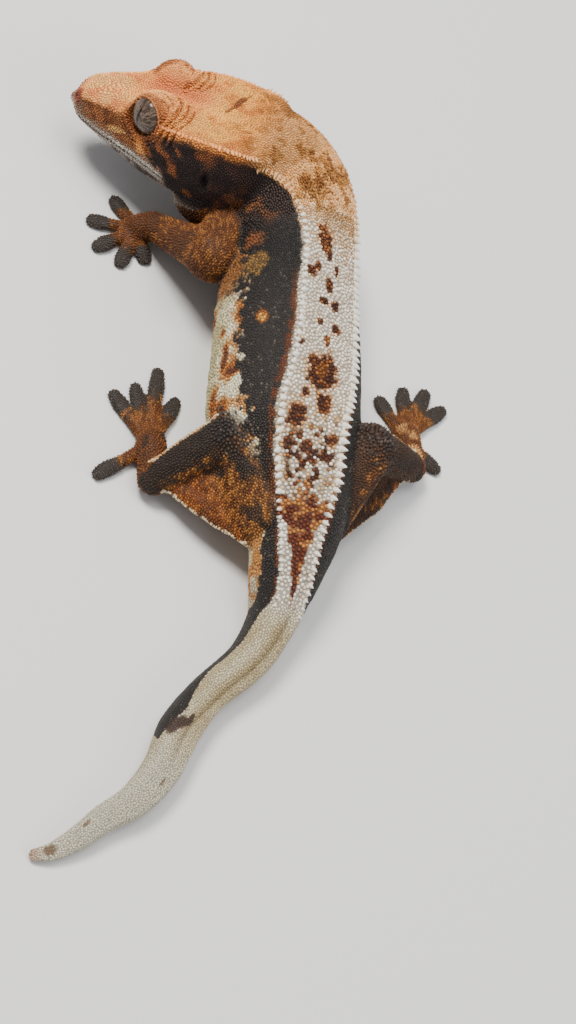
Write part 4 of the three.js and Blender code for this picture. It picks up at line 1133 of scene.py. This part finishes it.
def limb_colour(points, found, fleck):
    """Orange flesh with dark bands on the hind legs, dark knees and toe pads."""
    limb, segment, along = found["limb"], found["segment"], found["along"]
    leg = limb >= LEFT_LEG
    ragged = rough_noise(points, 2.0, 81) - 0.5
    fine = noise(points, 0.7, 83) - 0.5
    streaks = noise(points * np.array([1.6, 0.5, 0.5]), 0.42, 85)
    paint = Paint(ORANGE, len(points))
    paint.add(rgb(76, 46, 26), step(0.36, 0.66, streaks) * 0.8)
    paint.add(rgb(190, 140, 80), step(0.8, 0.97, fleck) * 0.4)
    paint.add(rgb(58, 42, 32), leg * mottled(points * np.array([1.3, 0.8, 0.8]), 1.5, 87, 0.6, 0.72) * 0.7)
    arm = ~leg
    dark = step(0.02, 0.09, ragged + 0.2 * fine)
    paint.add(rgb(62, 46, 36), arm * (segment == LOWER) * dark * 0.85)
    paint.add(rgb(92, 58, 34), arm * (0.35 + 0.5 * step(0.3, 0.62, streaks)))
    for k in (LEFT_LEG, RIGHT_LEG):
        data = list(LIMBS.values())[k]
        knee, ankle = (np.array(p) for p in data["joints"][1:3])
        run = ankle - knee
        length = np.linalg.norm(run)
        rear = np.array(data["web"][1]) - knee
        rear = unit(rear - run * (rear @ run) / length ** 2)
        share = (points - knee) @ run / length ** 2
        back = (points - knee) @ rear
        here = (limb == k) & (segment != TOES) & (segment != PALM)
        band = step(2.4, 1.4, back + 3.0 * ragged + 0.8 * fine) * step(-0.12, -0.02, share)
        patch = step(0.05, 0.12, ragged + 0.25 * fine) * step(-0.4, 0.1, share)
        slant = step(1.1, 0.7, np.abs(share - 0.17 + 0.012 * back) / 0.09 + 2.2 * ragged)
        slant = slant * step(0.5, 2, back) * step(10, 7, back)
        amount = np.clip(np.maximum.reduce([band, slant, patch * 0.8]), 0, 1) * here
        paint.add(rgb(50, 42, 37), amount * 0.93)
        edge = here * step(-2.3, -3.1, back + 0.8 * ragged)
        edge = edge * step(0.04, 0.12, share) * step(1.05, 0.95, share)
        paint.add(rgb(220, 176, 122), edge)
        paint.add(rgb(152, 84, 40), here * step(2, 4, back) * step(0.35, 0.6, share) * 0.4)
        gap = np.linalg.norm(points - knee, axis=1)
        paint.add(rgb(50, 44, 41), here * step(6.4, 4.6, gap + 3 * ragged + 0.5 * (back + 2)) * 0.9)
        if k == RIGHT_LEG:
            paint.add(rgb(60, 42, 30), here * step(-0.14, 0.04, ragged + 0.3 * fine + 0.05) * 0.85)
    foot = segment == PALM
    toe = segment == TOES
    paint.add(rgb(92, 58, 34), foot * 0.8)
    paint.add(rgb(54, 42, 36), leg * foot * step(0.08, 0.18, ragged) * 0.8)
    paint.add(rgb(190, 146, 100), foot * (limb == RIGHT_LEG) * step(-0.05, 0.1, ragged))
    paint.add(rgb(116, 74, 44), toe * step(0.7, 0.2, along) * 0.8)
    pad = toe * step(0.54, 0.7, along + 0.25 * fine)
    paint.add(PAD, pad * 0.96)
    return paint.add(rgb(98, 90, 88), pad * step(0.75, 0.95, fleck) * 0.4)


SATURATION = 1.22


def skin_colour(points, found, fleck):
    """Linear colour of the skin or of a scale at each point."""
    head = head_colour(points, found)
    trunk = trunk_colour(points, found, fleck)
    blend = step(-6.5, -2.0, found["head"][:, 0]) * (found["limb"] < 0) * (found["place"] < 3)
    colour = toward(trunk, head, blend)
    limb = limb_colour(points, found, fleck)
    weight = np.where(found["limb"] >= 0, step(-0.3, 1.2, found["body_gap"]), 0)
    colour = toward(colour, limb, weight)
    grey = colour.mean(axis=1, keepdims=True)
    return linear(grey + (colour - grey) * SATURATION)


def atlas(found):
    """Where a point lies on the unrolled skin, from 0 to 1 both ways."""
    u = 0.01 + 0.97 * np.clip((found["place"] + 1) / (TRUNK_END + 2), 0, 1)
    v = 0.02 + 0.36 * (found["angle"] + 180) / 360
    head_u = 0.01 + 0.44 * np.clip((found["head"][:, 0] + 9) / 39, 0, 1)
    head_v = 0.42 + 0.26 * (found["head_angle"] + 180) / 360
    u = np.where(found["is_head"], head_u, u)
    v = np.where(found["is_head"], head_v, v)
    limb = found["limb"]
    row = (found["segment"] + found["along"] + 0.15 * np.maximum(found["toe"], 0)) / 6
    limb_u = 0.5 + 0.48 * np.clip(row, 0, 1)
    limb_v = 0.42 + 0.14 * np.maximum(limb, 0) + 0.12 * found["around"]
    return np.stack([np.where(limb >= 0, limb_u, u), np.where(limb >= 0, limb_v, v)], 1)


# Coat of scales
MAX_PIECE = 190000
PATCH = 0.0015
TRIES = 4.2
CLOSEST = 0.8
ON_FLOOR = 0.01
FLOOR_CLEAR = 0.12


PITCH = {
    "back": 0.6, "side": 0.42, "flank": 0.5, "belly": 0.66, "tail": 0.34,
    "head": 0.38, "chin": 0.5, "limb": 0.42, "knee": 0.6, "toe": 0.38,
}


def scale_pitch(found):
    """Distance between scales, in mm."""
    place, angle = found["place"], np.abs(found["angle"])
    crest = crest_angle(place)
    body = np.where(angle < crest + 4, PITCH["back"], np.where(angle > 115, PITCH["belly"], PITCH["side"]))
    body = np.where((found["angle"] > 0) & (angle > 75) & (angle <= 115), PITCH["flank"], body)
    body = np.where((place < 4.2) & (angle < 120), PITCH["side"], body)
    tail = PITCH["side"] + (PITCH["tail"] - PITCH["side"]) * step(16, 19, place)
    body = np.where(place > TAIL_START, tail, body)
    head = np.where(found["head"][:, 2] < -4, PITCH["chin"], PITCH["head"])
    pitch = np.where(found["is_head"], head, body)
    limb = np.where(found["segment"] == TOES, PITCH["toe"], PITCH["limb"])
    knee = (found["limb"] >= LEFT_LEG) & (found["segment"] <= LOWER)
    joint = np.where(found["segment"] == UPPER, found["along"] > 0.75, found["along"] < 0.25)
    limb = np.where(knee & joint, PITCH["knee"], limb)
    return np.where(found["limb"] >= 0, limb, pitch)


def tree_of(rows):
    tree = KDTree(len(rows))
    for i, point in enumerate(rows):
        tree.insert(point, i)
    tree.balance()
    return tree


def scattered(verts, tris, pitch):
    """Points spread over the skin, each about one pitch from the next."""
    corner = verts[tris]
    edges = corner[:, 1:] - corner[:, :1]
    local = pitch[tris].mean(axis=1)
    want = np.linalg.norm(np.cross(edges[:, 0], edges[:, 1]), axis=1) / 2 / local ** 2
    count = int(want.sum() * TRIES)
    pick = rng.choice(len(tris), count, p=want / want.sum())
    a, b = rng.random((2, count))
    flip = a + b > 1
    a, b = np.where(flip, 1 - a, a), np.where(flip, 1 - b, b)
    points = corner[pick, 0] + a[:, None] * edges[pick, 0] + b[:, None] * edges[pick, 1]
    near = local[pick] * CLOSEST
    rows = points.tolist()
    find = tree_of(rows).find_range
    kept = bytearray(count)
    for i, (point, reach) in enumerate(zip(rows, near.tolist())):
        kept[i] = not any(kept[other] for _, other, _ in find(point, reach))
    keep = np.frombuffer(kept, np.uint8) > 0
    return points[keep], local[pick][keep]


def neighbours(points, count):
    rows = points.tolist()
    tree = tree_of(rows)
    found = [tree.find_n(point, count + 1) for point in rows]
    index = np.array([[entry[1] for entry in row] for row in found])
    far = np.array([[entry[2] for entry in row] for row in found])
    return index[:, 1:], far[:, 1:]


class Surface:
    """The skin as something points can be set on."""

    def __init__(self, verts, tris):
        self.normals = vertex_normals(verts, tris)
        self.verts, self.tris = verts, tris
        self.tree = BVHTree.FromPolygons(verts.tolist(), tris.tolist())

    def drop(self, points):
        hits = [self.tree.find_nearest(p) for p in points.tolist()]
        on = np.array([tuple(hit[0]) for hit in hits])
        face = np.array([hit[2] for hit in hits])
        corners = self.tris[face]
        gap = np.linalg.norm(self.verts[corners] - on[:, None], axis=2)
        weight = 1 / (gap + 0.02)
        normal = (self.normals[corners] * weight[..., None]).sum(axis=1)
        return on, unit(normal), face


def relaxed(points, pitch, surface, rounds=2):
    for _ in range(rounds):
        index, far = neighbours(points, 6)
        push = np.maximum(1 - far / (1.12 * pitch[:, None]), 0)
        gap = (points[:, None] - points[index]) / np.maximum(far, 1e-6)[..., None]
        points = points + (gap * push[..., None]).sum(axis=1) * pitch[:, None] * 0.45
        points, normal, _ = surface.drop(points)
    return points, normal


def scale_form(rings, sides, twist=0.5, tip=0.0):
    """Template: rings of (radius, height, shift along x), closed by a point above and a flat below."""
    verts = []
    for k, (radius, height, shift) in enumerate(rings):
        turn = (np.arange(sides) + twist * (k % 2)) / sides * 2 * np.pi
        ring = [radius * np.cos(turn) + shift, radius * np.sin(turn), np.full(sides, height)]
        verts.append(np.stack(ring, 1))
    verts = np.concatenate([*verts, [[tip, 0, 1.0]]])
    around = [(i, (i + 1) % sides) for i in range(sides)]
    last = (len(rings) - 1) * sides
    tris = [[0, i + 1, i] for i in range(1, sides - 1)]
    for ring in range(0, last, sides):
        for i, after in around:
            a, b = ring + i, ring + after
            tris += [[a, b, a + sides], [b, b + sides, a + sides]]
    tris += [[last + i, last + after, len(verts) - 1] for i, after in around]
    return verts, np.array(tris)


def spine_form(sides, steps):
    """A spine along z, curved towards x, with a wide root."""
    heights = np.linspace(-0.45, 0.86, steps)
    rings = [((1 - max(s, 0)) ** 0.75, s, 0.32 * max(s, 0) ** 2) for s in heights]
    return scale_form(rings, sides, twist=0.0, tip=0.36)


DOME = scale_form([(1.0, -0.5, 0), (0.74, 0.66, 0)], 6)
POINTED = scale_form([(1.0, -0.35, 0)], 6)
ROUNDED = scale_form([(1.0, -0.5, 0), (0.78, 0.6, 0)], 5)
EDGE = scale_form([(1.0, -0.5, 0), (0.92, 0.3, 0), (0.62, 0.8, 0)], 8)
SPINE = spine_form(7, 5)
CLAW = spine_form(8, 6)
# Pieces of the coat; height and wide are shares of the room round a scale, low is the painted shade that
# darkens its root
BRISTLE = {"height": 1.1, "long": 1.4}
# Painted highlight: each scale is lighter than its own colour at its crown, by this share
PAINTED_CROWN_LIGHT = 1.14
COATS = {
    "head": {"form": POINTED, **BRISTLE, "wide": 1.06, "low": 0.55, "slot": "head_skin"},
    "tail": {"form": POINTED, "height": 0.22, "long": 1.12, "wide": 1.06, "low": 0.8, "slot": "tail_skin"},
    "legs": {"form": POINTED, **BRISTLE, "wide": 1.06, "low": 0.55, "slot": "leg_skin"},
    "back": {"form": DOME, "height": 0.66, "long": 1.0, "wide": 0.97, "low": 0.2, "slot": "body_skin"},
    "sides": {"form": ROUNDED, "height": 0.52, "long": 1.12, "wide": 1.06, "low": 0.55, "slot": "body_skin"},
}


def instanced(form, at, normal, lean, radius, height, long):
    """Copies of a form set at each place; the long way of a scale follows lean."""
    verts, tris = form
    first = unit(lean - normal * (lean * normal).sum(1)[:, None])
    second = np.cross(normal, first)
    local = verts[None] * np.stack([radius * long, radius, height], 1)[:, None]
    local[..., 0] += np.maximum(verts[None, :, 2], 0) * (radius * (long - 1) * 1.4)[:, None]
    points = at[:, None] + local[..., :1] * first[:, None] + local[..., 1:2] * second[:, None]
    points = points + local[..., 2:] * normal[:, None]
    faces = tris[None] + (np.arange(len(at)) * len(verts))[:, None, None]
    return points.reshape(-1, 3), faces.reshape(-1, 3)


def patches_for(form, uv):
    verts = form[0]
    spread = verts[:, :2] / np.abs(verts[:, :2]).max() * PATCH
    return (uv[:, None] + spread[None]).reshape(-1, 2)


def backward(found):
    """Direction towards the tail, or towards the toes on a leg."""
    inside = np.clip(found["place"], 0, TRUNK_END)
    out = -trunk_frame(inside)[0]
    out = np.where(found["is_head"][:, None], -HEAD_BASIS[0], out)
    for k, limb in enumerate(LIMBS.values()):
        joints = np.array(limb["joints"])
        for s in range(3):
            way = unit(joints[s + 1] - joints[s])
            out = np.where(((found["limb"] == k) & (found["segment"] == s))[:, None], way, out)
    return out


def set_material(obj, material):
    obj.data.materials.append(material)
    return obj


def on_body(obj, slot):
    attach(obj, "root")
    return obj


def on_skin(points, normal):
    """Anatomy of points on the skin, with the way their normals face round a leg, from 0 to 1."""
    found = anatomy(points)
    found["around"] = (np.arctan2(normal[:, 0], normal[:, 2]) + np.pi) / (2 * np.pi)
    return found


def scale_piece(name, form, places, sizes, shade, found, slot):
    """A form set at places (points, normals, leans) in sizes (radii, heights, lengths)."""
    verts, faces = instanced(form, *places, *sizes)
    verts[:, 2] = np.maximum(verts[:, 2], ON_FLOOR)
    obj = make_object(name, verts, faces, shade.reshape(-1, 3), patches_for(form, atlas(found)))
    on_body(set_material(obj, scale_paint), slot)


def coat_regions(found):
    """Which scales go to which piece of the coat."""
    place = found["place"]
    crest = crest_angle(place)
    limb = found["limb"] >= 0
    trunk = ~found["is_head"] & ~limb
    head = found["is_head"] | (trunk & (place < 2))
    tail = trunk & (place > 15)
    back = trunk & (place > 3.6) & (np.abs(found["angle"]) < crest + 5) & ~tail & ~head
    return {"head": head, "tail": tail, "legs": limb, "back": back, "sides": ~(head | tail | limb | back)}


def build_coat(surface):
    pitch = scale_pitch(anatomy(surface.verts))
    points, local = scattered(surface.verts, surface.tris, pitch)
    points, normal = relaxed(points, local, surface)
    clear = points[:, 2] > FLOOR_CLEAR
    for side in (1, -1):
        radius, _, along = eye_polar(points, side)
        clear &= ~((radius < SOCKET["r"]) & (along > -1))
    points, normal, local = points[clear], normal[clear], local[clear]
    _, far = neighbours(points, 5)
    room = np.clip(far.mean(axis=1) / 2, local * 0.36, local * 0.62)
    found = on_skin(points, normal)
    fleck = rng.random(len(points))
    colour = skin_colour(points, found, fleck) * (0.8 + 0.4 * rng.random(len(points)))[:, None]
    lean = backward(found)
    for name, mask in coat_regions(found).items():
        coat = COATS[name]
        rows = np.flatnonzero(mask)
        rows = rows[np.argsort(points[rows, 1])]
        # Painted shade at each scale's root, rising to a painted highlight at its crown
        crown = step(-0.3, 1.0, coat["form"][0][:, 2])
        crown = coat["low"] + (PAINTED_CROWN_LIGHT - coat["low"]) * crown
        size = MAX_PIECE // len(coat["form"][1])
        for n, start in enumerate(range(0, len(rows), size)):
            part = rows[start:start + size]
            here = {key: value[part] for key, value in found.items()}
            neck = (here["place"] < 4) & (name != "back")
            height, long = (np.where(neck, BRISTLE[key], coat[key]) for key in ("height", "long"))
            radius = room[part] * coat["wide"]
            shade = colour[part][:, None] * crown[:, None]
            places = (points[part], normal[part], lean[part])
            sizes = (radius, height * radius, long)
            scale_piece(f"scales_{name}_{n}", coat["form"], places, sizes, shade, here, coat["slot"])


# Spines: root, direction, length, root radius and paleness of each
SPINE_PITCH = 1.36
HEAD_ROW = {"front": 11.6, "back": -5.4}
BACK_ROW = {"front": 0.55, "back": 15.7}
BROW_ROW = {"count": 60, "front": 18.5, "back": 9.8}


def head_row(side):
    """Small spines from the temple to the nape."""
    x = HEAD_ROW["front"]
    while x > HEAD_ROW["back"]:
        px, py, pz = head_shape(x, math.radians(HEAD_CREST["angle"]))
        grown = 0.42 + 0.55 * step(6, -4, x)
        way = np.array([-0.55 + 0.5 * rng.random(), side * 0.95, 0.25 - 0.5 * rng.random()])
        width = rng.uniform(0.26, 0.4)
        long = grown * rng.uniform(0.5, 1.35)
        pale = 0.05 + 0.3 * step(5, -3, x)
        yield from_head([px, side * py, pz]), unit(way) @ HEAD_BASIS, long, width, pale
        x -= rng.uniform(0.42, 0.8)


def back_row(side):
    """Spines along a crest row of the trunk, slimmer and darker on the neck."""
    place = BACK_ROW["front"]
    while place < BACK_ROW["back"]:
        crest = np.radians(trunk_value(CREST, place))
        root = trunk_point(place, side * crest)
        lower = trunk_point(place, side * (crest + 0.08))
        out = unit(root - trunk_middle(place))
        slim = step(4.6, 2.4, place)
        size = np.clip(trunk_value(HALF, place) / CREST_FULL, 0.5, 1) * rng.uniform(0.88 - 0.2 * slim, 1.12)
        way = out * (0.75 - 0.35 * slim) + unit(lower - root) * (0.55 + 0.35 * slim)
        way = unit(way - trunk_frame(place)[0] * 0.28)
        width = size * (0.58 - 0.25 * slim) * (1 if side < 0 else 0.92)
        long = size * (1.12 + 0.1 * slim if side < 0 else 0.8)
        yield root, way, long, width, 1 - 0.75 * slim
        ahead = np.linalg.norm(trunk_point(place + 0.1, side * crest) - root) / 0.1
        place += (SPINE_PITCH - 0.5 * slim) * rng.uniform(0.88, 1.12) / ahead


def brow_row(side):
    """Bristles along a brow."""
    for _ in range(BROW_ROW["count"]):
        x = rng.uniform(BROW_ROW["back"], BROW_ROW["front"])
        y = BROW["y"] - 0.1 * (x - BROW["x"]) + rng.normal() * 0.8
        z = head_shape(x, np.arctan2(y, head_value(HEAD_ABOVE, x)))[2]
        way = unit(np.array([-0.3, side * 0.3, 0.9])) @ HEAD_BASIS
        yield from_head([x, side * y, z]), way, rng.uniform(0.28, 0.6), 0.16, 0.1


def gathered(makers, subjects):
    """Columns of the rows that each maker gives for each subject."""
    rows = [row for subject in subjects for make in makers for row in make(subject)]
    return [np.array(column) for column in zip(*rows)]


def build_spines(surface):
    roots, ways, longs, wides, pales = gathered((head_row, back_row, brow_row), (1, -1))
    on, normal, _ = surface.drop(roots)
    found = on_skin(on, normal)
    base = skin_colour(on, found, np.full(len(on), 0.2))
    warm = (found["place"] < 4)[:, None]
    pale = np.where(warm, rgb(246, 206, 160), rgb(240, 234, 222)) ** 2.2
    tip = (step(-0.1, 0.5, SPINE[0][:, 2]) * pales[:, None])[..., None]
    root = toward(base, pale, 0.4 * pales)[:, None]
    shade = root * (1 - tip) + pale[:, None] * tip
    sizes = (wides, longs, np.ones(len(on)))
    scale_piece("crest_spines", SPINE, (on, ways, backward(found)), sizes, shade, found, "body_skin")


# Lip, lid and knee scales and the pale fringe of the legs: place, direction, size and colour of each
LIP_ROWS = [(0.46, 0.36, LIP * 0.86), (-0.46, 0.28, rgb(146, 134, 124))]
FRINGE = rgb(222, 200, 160)
FRINGE_SIZE = (0.3, 0.22, 0.34)
KNEE = {"count": 60, "r": 4.0, "size": (0.36, 0.3, 0.3)}
ON_EDGE = 1.6


def lip_scales(side):
    for x in np.arange(10.2, 29.7, 0.86):
        line = head_shape(np.full(200, x), np.linspace(0.6, 2.6, 200))
        for offset, tall, colour in LIP_ROWS:
            row = line[np.abs(line[:, 2] - mouth_height(x) - offset).argmin()]
            shade = colour * (1 - 0.34 * step(18, 26, x)) * rng.uniform(0.86, 1.05)
            yield from_head(row * [1, side, 1]), -HEAD_BASIS[0], (0.46, tall, 0.09), shade


def lid_scales(side):
    centre, axis, up, back = eye_place(side)
    for turn in np.radians(np.arange(0, 360, 6.0)):
        rim = up * math.cos(turn) + back * LID["across"] * math.sin(turn)
        at = centre + axis * (LID["out"] + 0.1) + rim * (LID["r"] + 0.2)
        pale = 0.5 + 0.5 * math.cos(turn - 0.6)
        shade = rgb(116, 70, 44) * (1 - pale) + rgb(190, 126, 80) * pale
        yield at, back * math.cos(turn) - up * math.sin(turn), (0.19, 0.15, 0.16), shade


def flap_scales(limb):
    ankle, root, mid = (np.array(p) for p in (limb["joints"][2], *limb["web"]))
    for start, end in ((mid, root), (ankle, mid)):
        for share in np.arange(0.0, 1.0, 0.024):
            at = start + (end - start) * share + rng.normal(size=3) * 0.22
            yield at, end - start, FRINGE_SIZE, FRINGE * rng.uniform(0.82, 1.04)


def shank_scales(limb):
    knee, ankle = (np.array(p) for p in limb["joints"][1:3])
    front = unit(np.cross(unit(ankle - knee), TOWARDS_CAMERA))
    front = front * np.sign(front[1])
    for share in np.arange(0.1, 0.96, 0.018):
        r = limb["radii"][1] * BELOW_JOINT * (1 - share) + limb["radii"][3] * share
        for lift in (0.0, 0.22):
            out = unit(front + lift * TOWARDS_CAMERA) * r
            at = knee + (ankle - knee) * share + out + rng.normal(size=3) * 0.12
            shade = (FRINGE if rng.random() < 0.6 else rgb(200, 146, 88)) * rng.uniform(0.85, 1.05)
            yield at, ankle - knee, FRINGE_SIZE, shade


def knee_scales(limb):
    hip, knee = (np.array(p) for p in limb["joints"][:2])
    for _ in range(KNEE["count"]):
        at = knee + unit(rng.normal(size=3) + [0, 0, 0.9]) * KNEE["r"]
        yield at, knee - hip, KNEE["size"], rgb(58, 50, 46) * rng.uniform(0.8, 1.35)


def build_edges(surface):
    heads = gathered((lip_scales, lid_scales), (1, -1))
    legs = gathered((flap_scales, shank_scales, knee_scales), list(LIMBS.values())[LEFT_LEG:])
    at, ways, size, tint = (np.concatenate(pair) for pair in zip(heads, legs))
    on, normal, _ = surface.drop(at)
    keep = np.linalg.norm(on - at, axis=1) < ON_EDGE
    on, normal = on[keep], normal[keep]
    long, wide, high = size[keep].T
    shade = np.repeat(linear(tint[keep])[:, None], len(EDGE[0]), axis=1)
    places, sizes = (on, normal, unit(ways[keep])), (wide, high, long / wide)
    scale_piece("edge_scales", EDGE, places, sizes, shade, on_skin(on, normal), "head_skin")


# Claws
CLAW_AT = {"along": 0.99, "high": 1.0, "lift": 0.25, "r": 0.17, "long": 0.95, "low": 0.03}


def build_claws():
    at, ways = [], []
    for limb in LIMBS.values():
        for tip in limb["toes"]:
            start, forward, _, length = toe_frame(limb["joints"][3], tip)
            at.append(start + forward * (length * CLAW_AT["along"]) + [0, 0, CLAW_AT["high"]])
            ways.append(unit(forward + [0, 0, CLAW_AT["lift"]]))
    one = np.ones(len(at))
    down = np.tile([0, 0, -1.0], (len(at), 1))
    sizes = (CLAW_AT["r"] * one, CLAW_AT["long"] * one, one)
    verts, faces = instanced(CLAW, np.array(at), np.array(ways), down, *sizes)
    verts[:, 2] = np.maximum(verts[:, 2], CLAW_AT["low"])
    obj = make_object("claws", verts, faces, np.tile(linear(rgb(60, 52, 46)), (len(verts), 1)))
    on_body(set_material(obj, horn_paint), "leg_skin")


# Eyes
BALL = {"rings": 150, "sides": 160, "reach": math.radians(112), "r": EYE_R - 0.06}
PUPIL = {"wide": 0.07, "high": 0.74, "lobes": 26}


def build_eye(side, name, node):
    at, axis, up, back = eye_place(side)
    reach = BALL["reach"]
    polar, turn = np.meshgrid(np.linspace(0, reach, BALL["rings"]), circle(BALL["sides"]), indexing="ij")
    ball = np.stack([np.cos(polar), np.sin(polar) * np.cos(turn), np.sin(polar) * np.sin(turn)], -1)
    closing = np.zeros((1, BALL["sides"], 3)) + [math.cos(reach), 0, 0]
    basis = np.stack([axis, up, back])
    verts, faces = ring_mesh(at + (np.concatenate([ball, closing]) * BALL["r"]) @ basis)
    local = (verts - at) @ basis.T / BALL["r"]
    out, high, rear = local.T
    around = np.arctan2(rear, high)
    rays = np.stack([np.cos(around) * 22, np.sin(around) * 22, np.hypot(high, rear) * 5.0], 1)
    veins = rough_noise(rays, 1.0, 91 + side)
    paint = Paint(rgb(92, 78, 68), len(verts))
    paint.add(rgb(128, 112, 96), step(0.5, 0.66, veins) * 0.6)
    paint.add(rgb(52, 42, 37), step(0.52, 0.4, veins) * 0.6)
    paint.add(rgb(40, 32, 28), step(0.48, 0.36, rough_noise(local, 0.06, 95)) * 0.5)
    slit = PUPIL["wide"] * (1 - (high / PUPIL["high"]) ** 2) * (1 + 0.35 * np.cos(high * PUPIL["lobes"]))
    slit = np.abs(rear) - slit
    paint.add(rgb(126, 96, 70), step(0.05, 0.02, slit) * (np.abs(high) < 0.72) * 0.4)
    paint.add(rgb(8, 7, 7), step(0.014, -0.004, slit) * (np.abs(high) < PUPIL["high"]) * (out > 0))
    obj = make_object(name, verts, faces, linear(paint.colour))
    set_material(obj, eye_paint)
    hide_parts(node)
    on_body(obj, "eye")


# Materials
UNEVEN = 0.12


def new_node(tree, kind, values=()):
    node = tree.nodes.new("ShaderNode" + kind)
    for key, value in dict(values).items():
        node.inputs[key].default_value = value
    return node


def base_material(name, values):
    material = bpy.data.materials.new(name)
    material.use_nodes = True
    shader = material.node_tree.nodes["Principled BSDF"]
    for key, value in values.items():
        shader.inputs[key].default_value = value
    return material, shader


def tinted(name, roughness, specular, grain, strength, contrast, coat=0.0):
    """Colour from the mesh, broken up by noise, with a noise bump and uneven roughness."""
    values = {"Specular IOR Level": specular, "Coat Weight": coat, "Coat Roughness": 0.04}
    material, shader = base_material(name, values)
    tree = material.node_tree
    tint = new_node(tree, "Attribute")
    tint.attribute_name = "Tint"
    where = new_node(tree, "TexCoord")
    fine = new_node(tree, "TexNoise", {"Scale": 1000 / grain, "Detail": 3})
    range_of_tint = {"From Min": 0.3, "From Max": 0.7, "To Min": 1 - contrast, "To Max": 1 + contrast}
    spread = new_node(tree, "MapRange", range_of_tint)
    mixed = new_node(tree, "VectorMath")
    mixed.operation = "SCALE"
    worn = new_node(tree, "MapRange", {"To Min": roughness - UNEVEN, "To Max": roughness + UNEVEN})
    bump = new_node(tree, "Bump", {"Strength": strength, "Distance": 0.0001})
    for source, output, target, value in (
        (where, "Object", fine, "Vector"),
        (fine, "Fac", spread, "Value"),
        (tint, "Color", mixed, 0),
        (spread, "Result", mixed, "Scale"),
        (mixed, "Vector", shader, "Base Color"),
        (fine, "Fac", worn, "Value"),
        (worn, "Result", shader, "Roughness"),
        (fine, "Fac", bump, "Height"),
        (bump, "Normal", shader, "Normal"),
    ):
        tree.links.new(source.outputs[output], target.inputs[value])
    return material


def pale_floor():
    bpy.ops.mesh.primitive_plane_add(size=6, location=(0, 0, 0))
    floor = bpy.context.object
    floor.name = "floor"
    values = {"Base Color": (0.78, 0.77, 0.75, 1), "Roughness": 0.8, "Specular IOR Level": 0.2}
    set_material(floor, base_material("floor_paint", values)[0])
    floor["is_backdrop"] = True


# Camera as in the photograph, and soft studio lights: place, size, power and colour
TOWARDS_CAMERA = np.array([-0.3308, -0.4695, 0.8187])
IMAGE_RIGHT = np.array([0.9272, 0.0, 0.3746])
IMAGE_UP = np.array([-0.1759, 0.8829, 0.4353])
LOOKED_AT = np.array([0, 0, 12.0])
CAMERA_FAR = 300
FOCAL_PIXELS = 1923.08
IMAGE_HEIGHT = 1024
SENSOR = 36
LIGHTS = {
    "key": ((-0.35, 0.25, 0.75), 0.3, 9.5, (1.0, 0.97, 0.93)),
    "fill": ((0.55, -0.4, 0.5), 0.7, 3.0, (0.93, 0.96, 1.0)),
    "top": ((0.05, 0.1, 0.9), 0.5, 3.6, (1.0, 1.0, 1.0)),
}
WORLD = {"Color": (0.9, 0.93, 1.0, 1), "Strength": 0.34}


def build_camera():
    data = bpy.data.cameras.new("camera")
    data.sensor_fit = "VERTICAL"
    data.sensor_height = SENSOR
    data.lens = FOCAL_PIXELS / IMAGE_HEIGHT * SENSOR
    data.clip_start = 0.01
    camera = bpy.data.objects.new("camera", data)
    bpy.context.scene.collection.objects.link(camera)
    turn = np.stack([IMAGE_RIGHT, IMAGE_UP, TOWARDS_CAMERA], axis=1)
    at = placed(LOOKED_AT + CAMERA_FAR * TOWARDS_CAMERA)
    camera.matrix_world = Matrix([[*turn[row], at[row]] for row in range(3)] + [[0, 0, 0, 1]])
    bpy.context.scene.camera = camera


def area_light(name, at, size, power, colour):
    data = bpy.data.lights.new(name, "AREA")
    data.shape = "DISK"
    data.size = size
    data.energy = power
    data.color = colour
    light = bpy.data.objects.new(name, data)
    light.location = at
    light.rotation_euler = (-Vector(at)).to_track_quat("-Z", "Y").to_euler()
    bpy.context.scene.collection.objects.link(light)


def build_lights():
    for name, light in LIGHTS.items():
        area_light(name, *light)
    world = bpy.data.worlds.new("studio")
    world.use_nodes = True
    for key, value in WORLD.items():
        world.node_tree.nodes["Background"].inputs[key].default_value = value
    bpy.context.scene.world = world


# Assembly, with painted shade making the skin darker than the scales on it
PAINTED_SHADE_UNDER_SCALES = 0.42
skin_paint = tinted("gecko_skin", 0.62, 0.35, 0.35, 0.6, 0.16)
scale_paint = tinted("gecko_scale", 0.52, 0.34, 0.2, 0.25, 0.1)
horn_paint = tinted("gecko_horn", 0.35, 0.5, 0.3, 0.2, 0.12)
eye_paint = tinted("gecko_eye", 0.18, 0.16, 0.15, 0.01, 0.1, coat=0.16)

surface = Surface(*build_skin())
# Painted shade: the skin that shows between the scales is darkened
tint = skin_colour(surface.verts, anatomy(surface.verts), noise(surface.verts, 0.5, 2)) * PAINTED_SHADE_UNDER_SCALES
skin = make_object("skin", surface.verts, surface.tris, tint)
set_material(skin, skin_paint)
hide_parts(*[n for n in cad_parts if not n.startswith("eye")])
on_body(skin, "body_skin")

build_coat(surface)
build_spines(surface)
build_edges(surface)
build_claws()
build_eye(1, "eyeball_left", "eye_left")
build_eye(-1, "eyeball_right", "eye_right")
pale_floor()
build_camera()
build_lights()

boxes = {"cad": cad_box, "visual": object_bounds()}
{key: np.array(value).tolist() for key, value in boxes.items()}
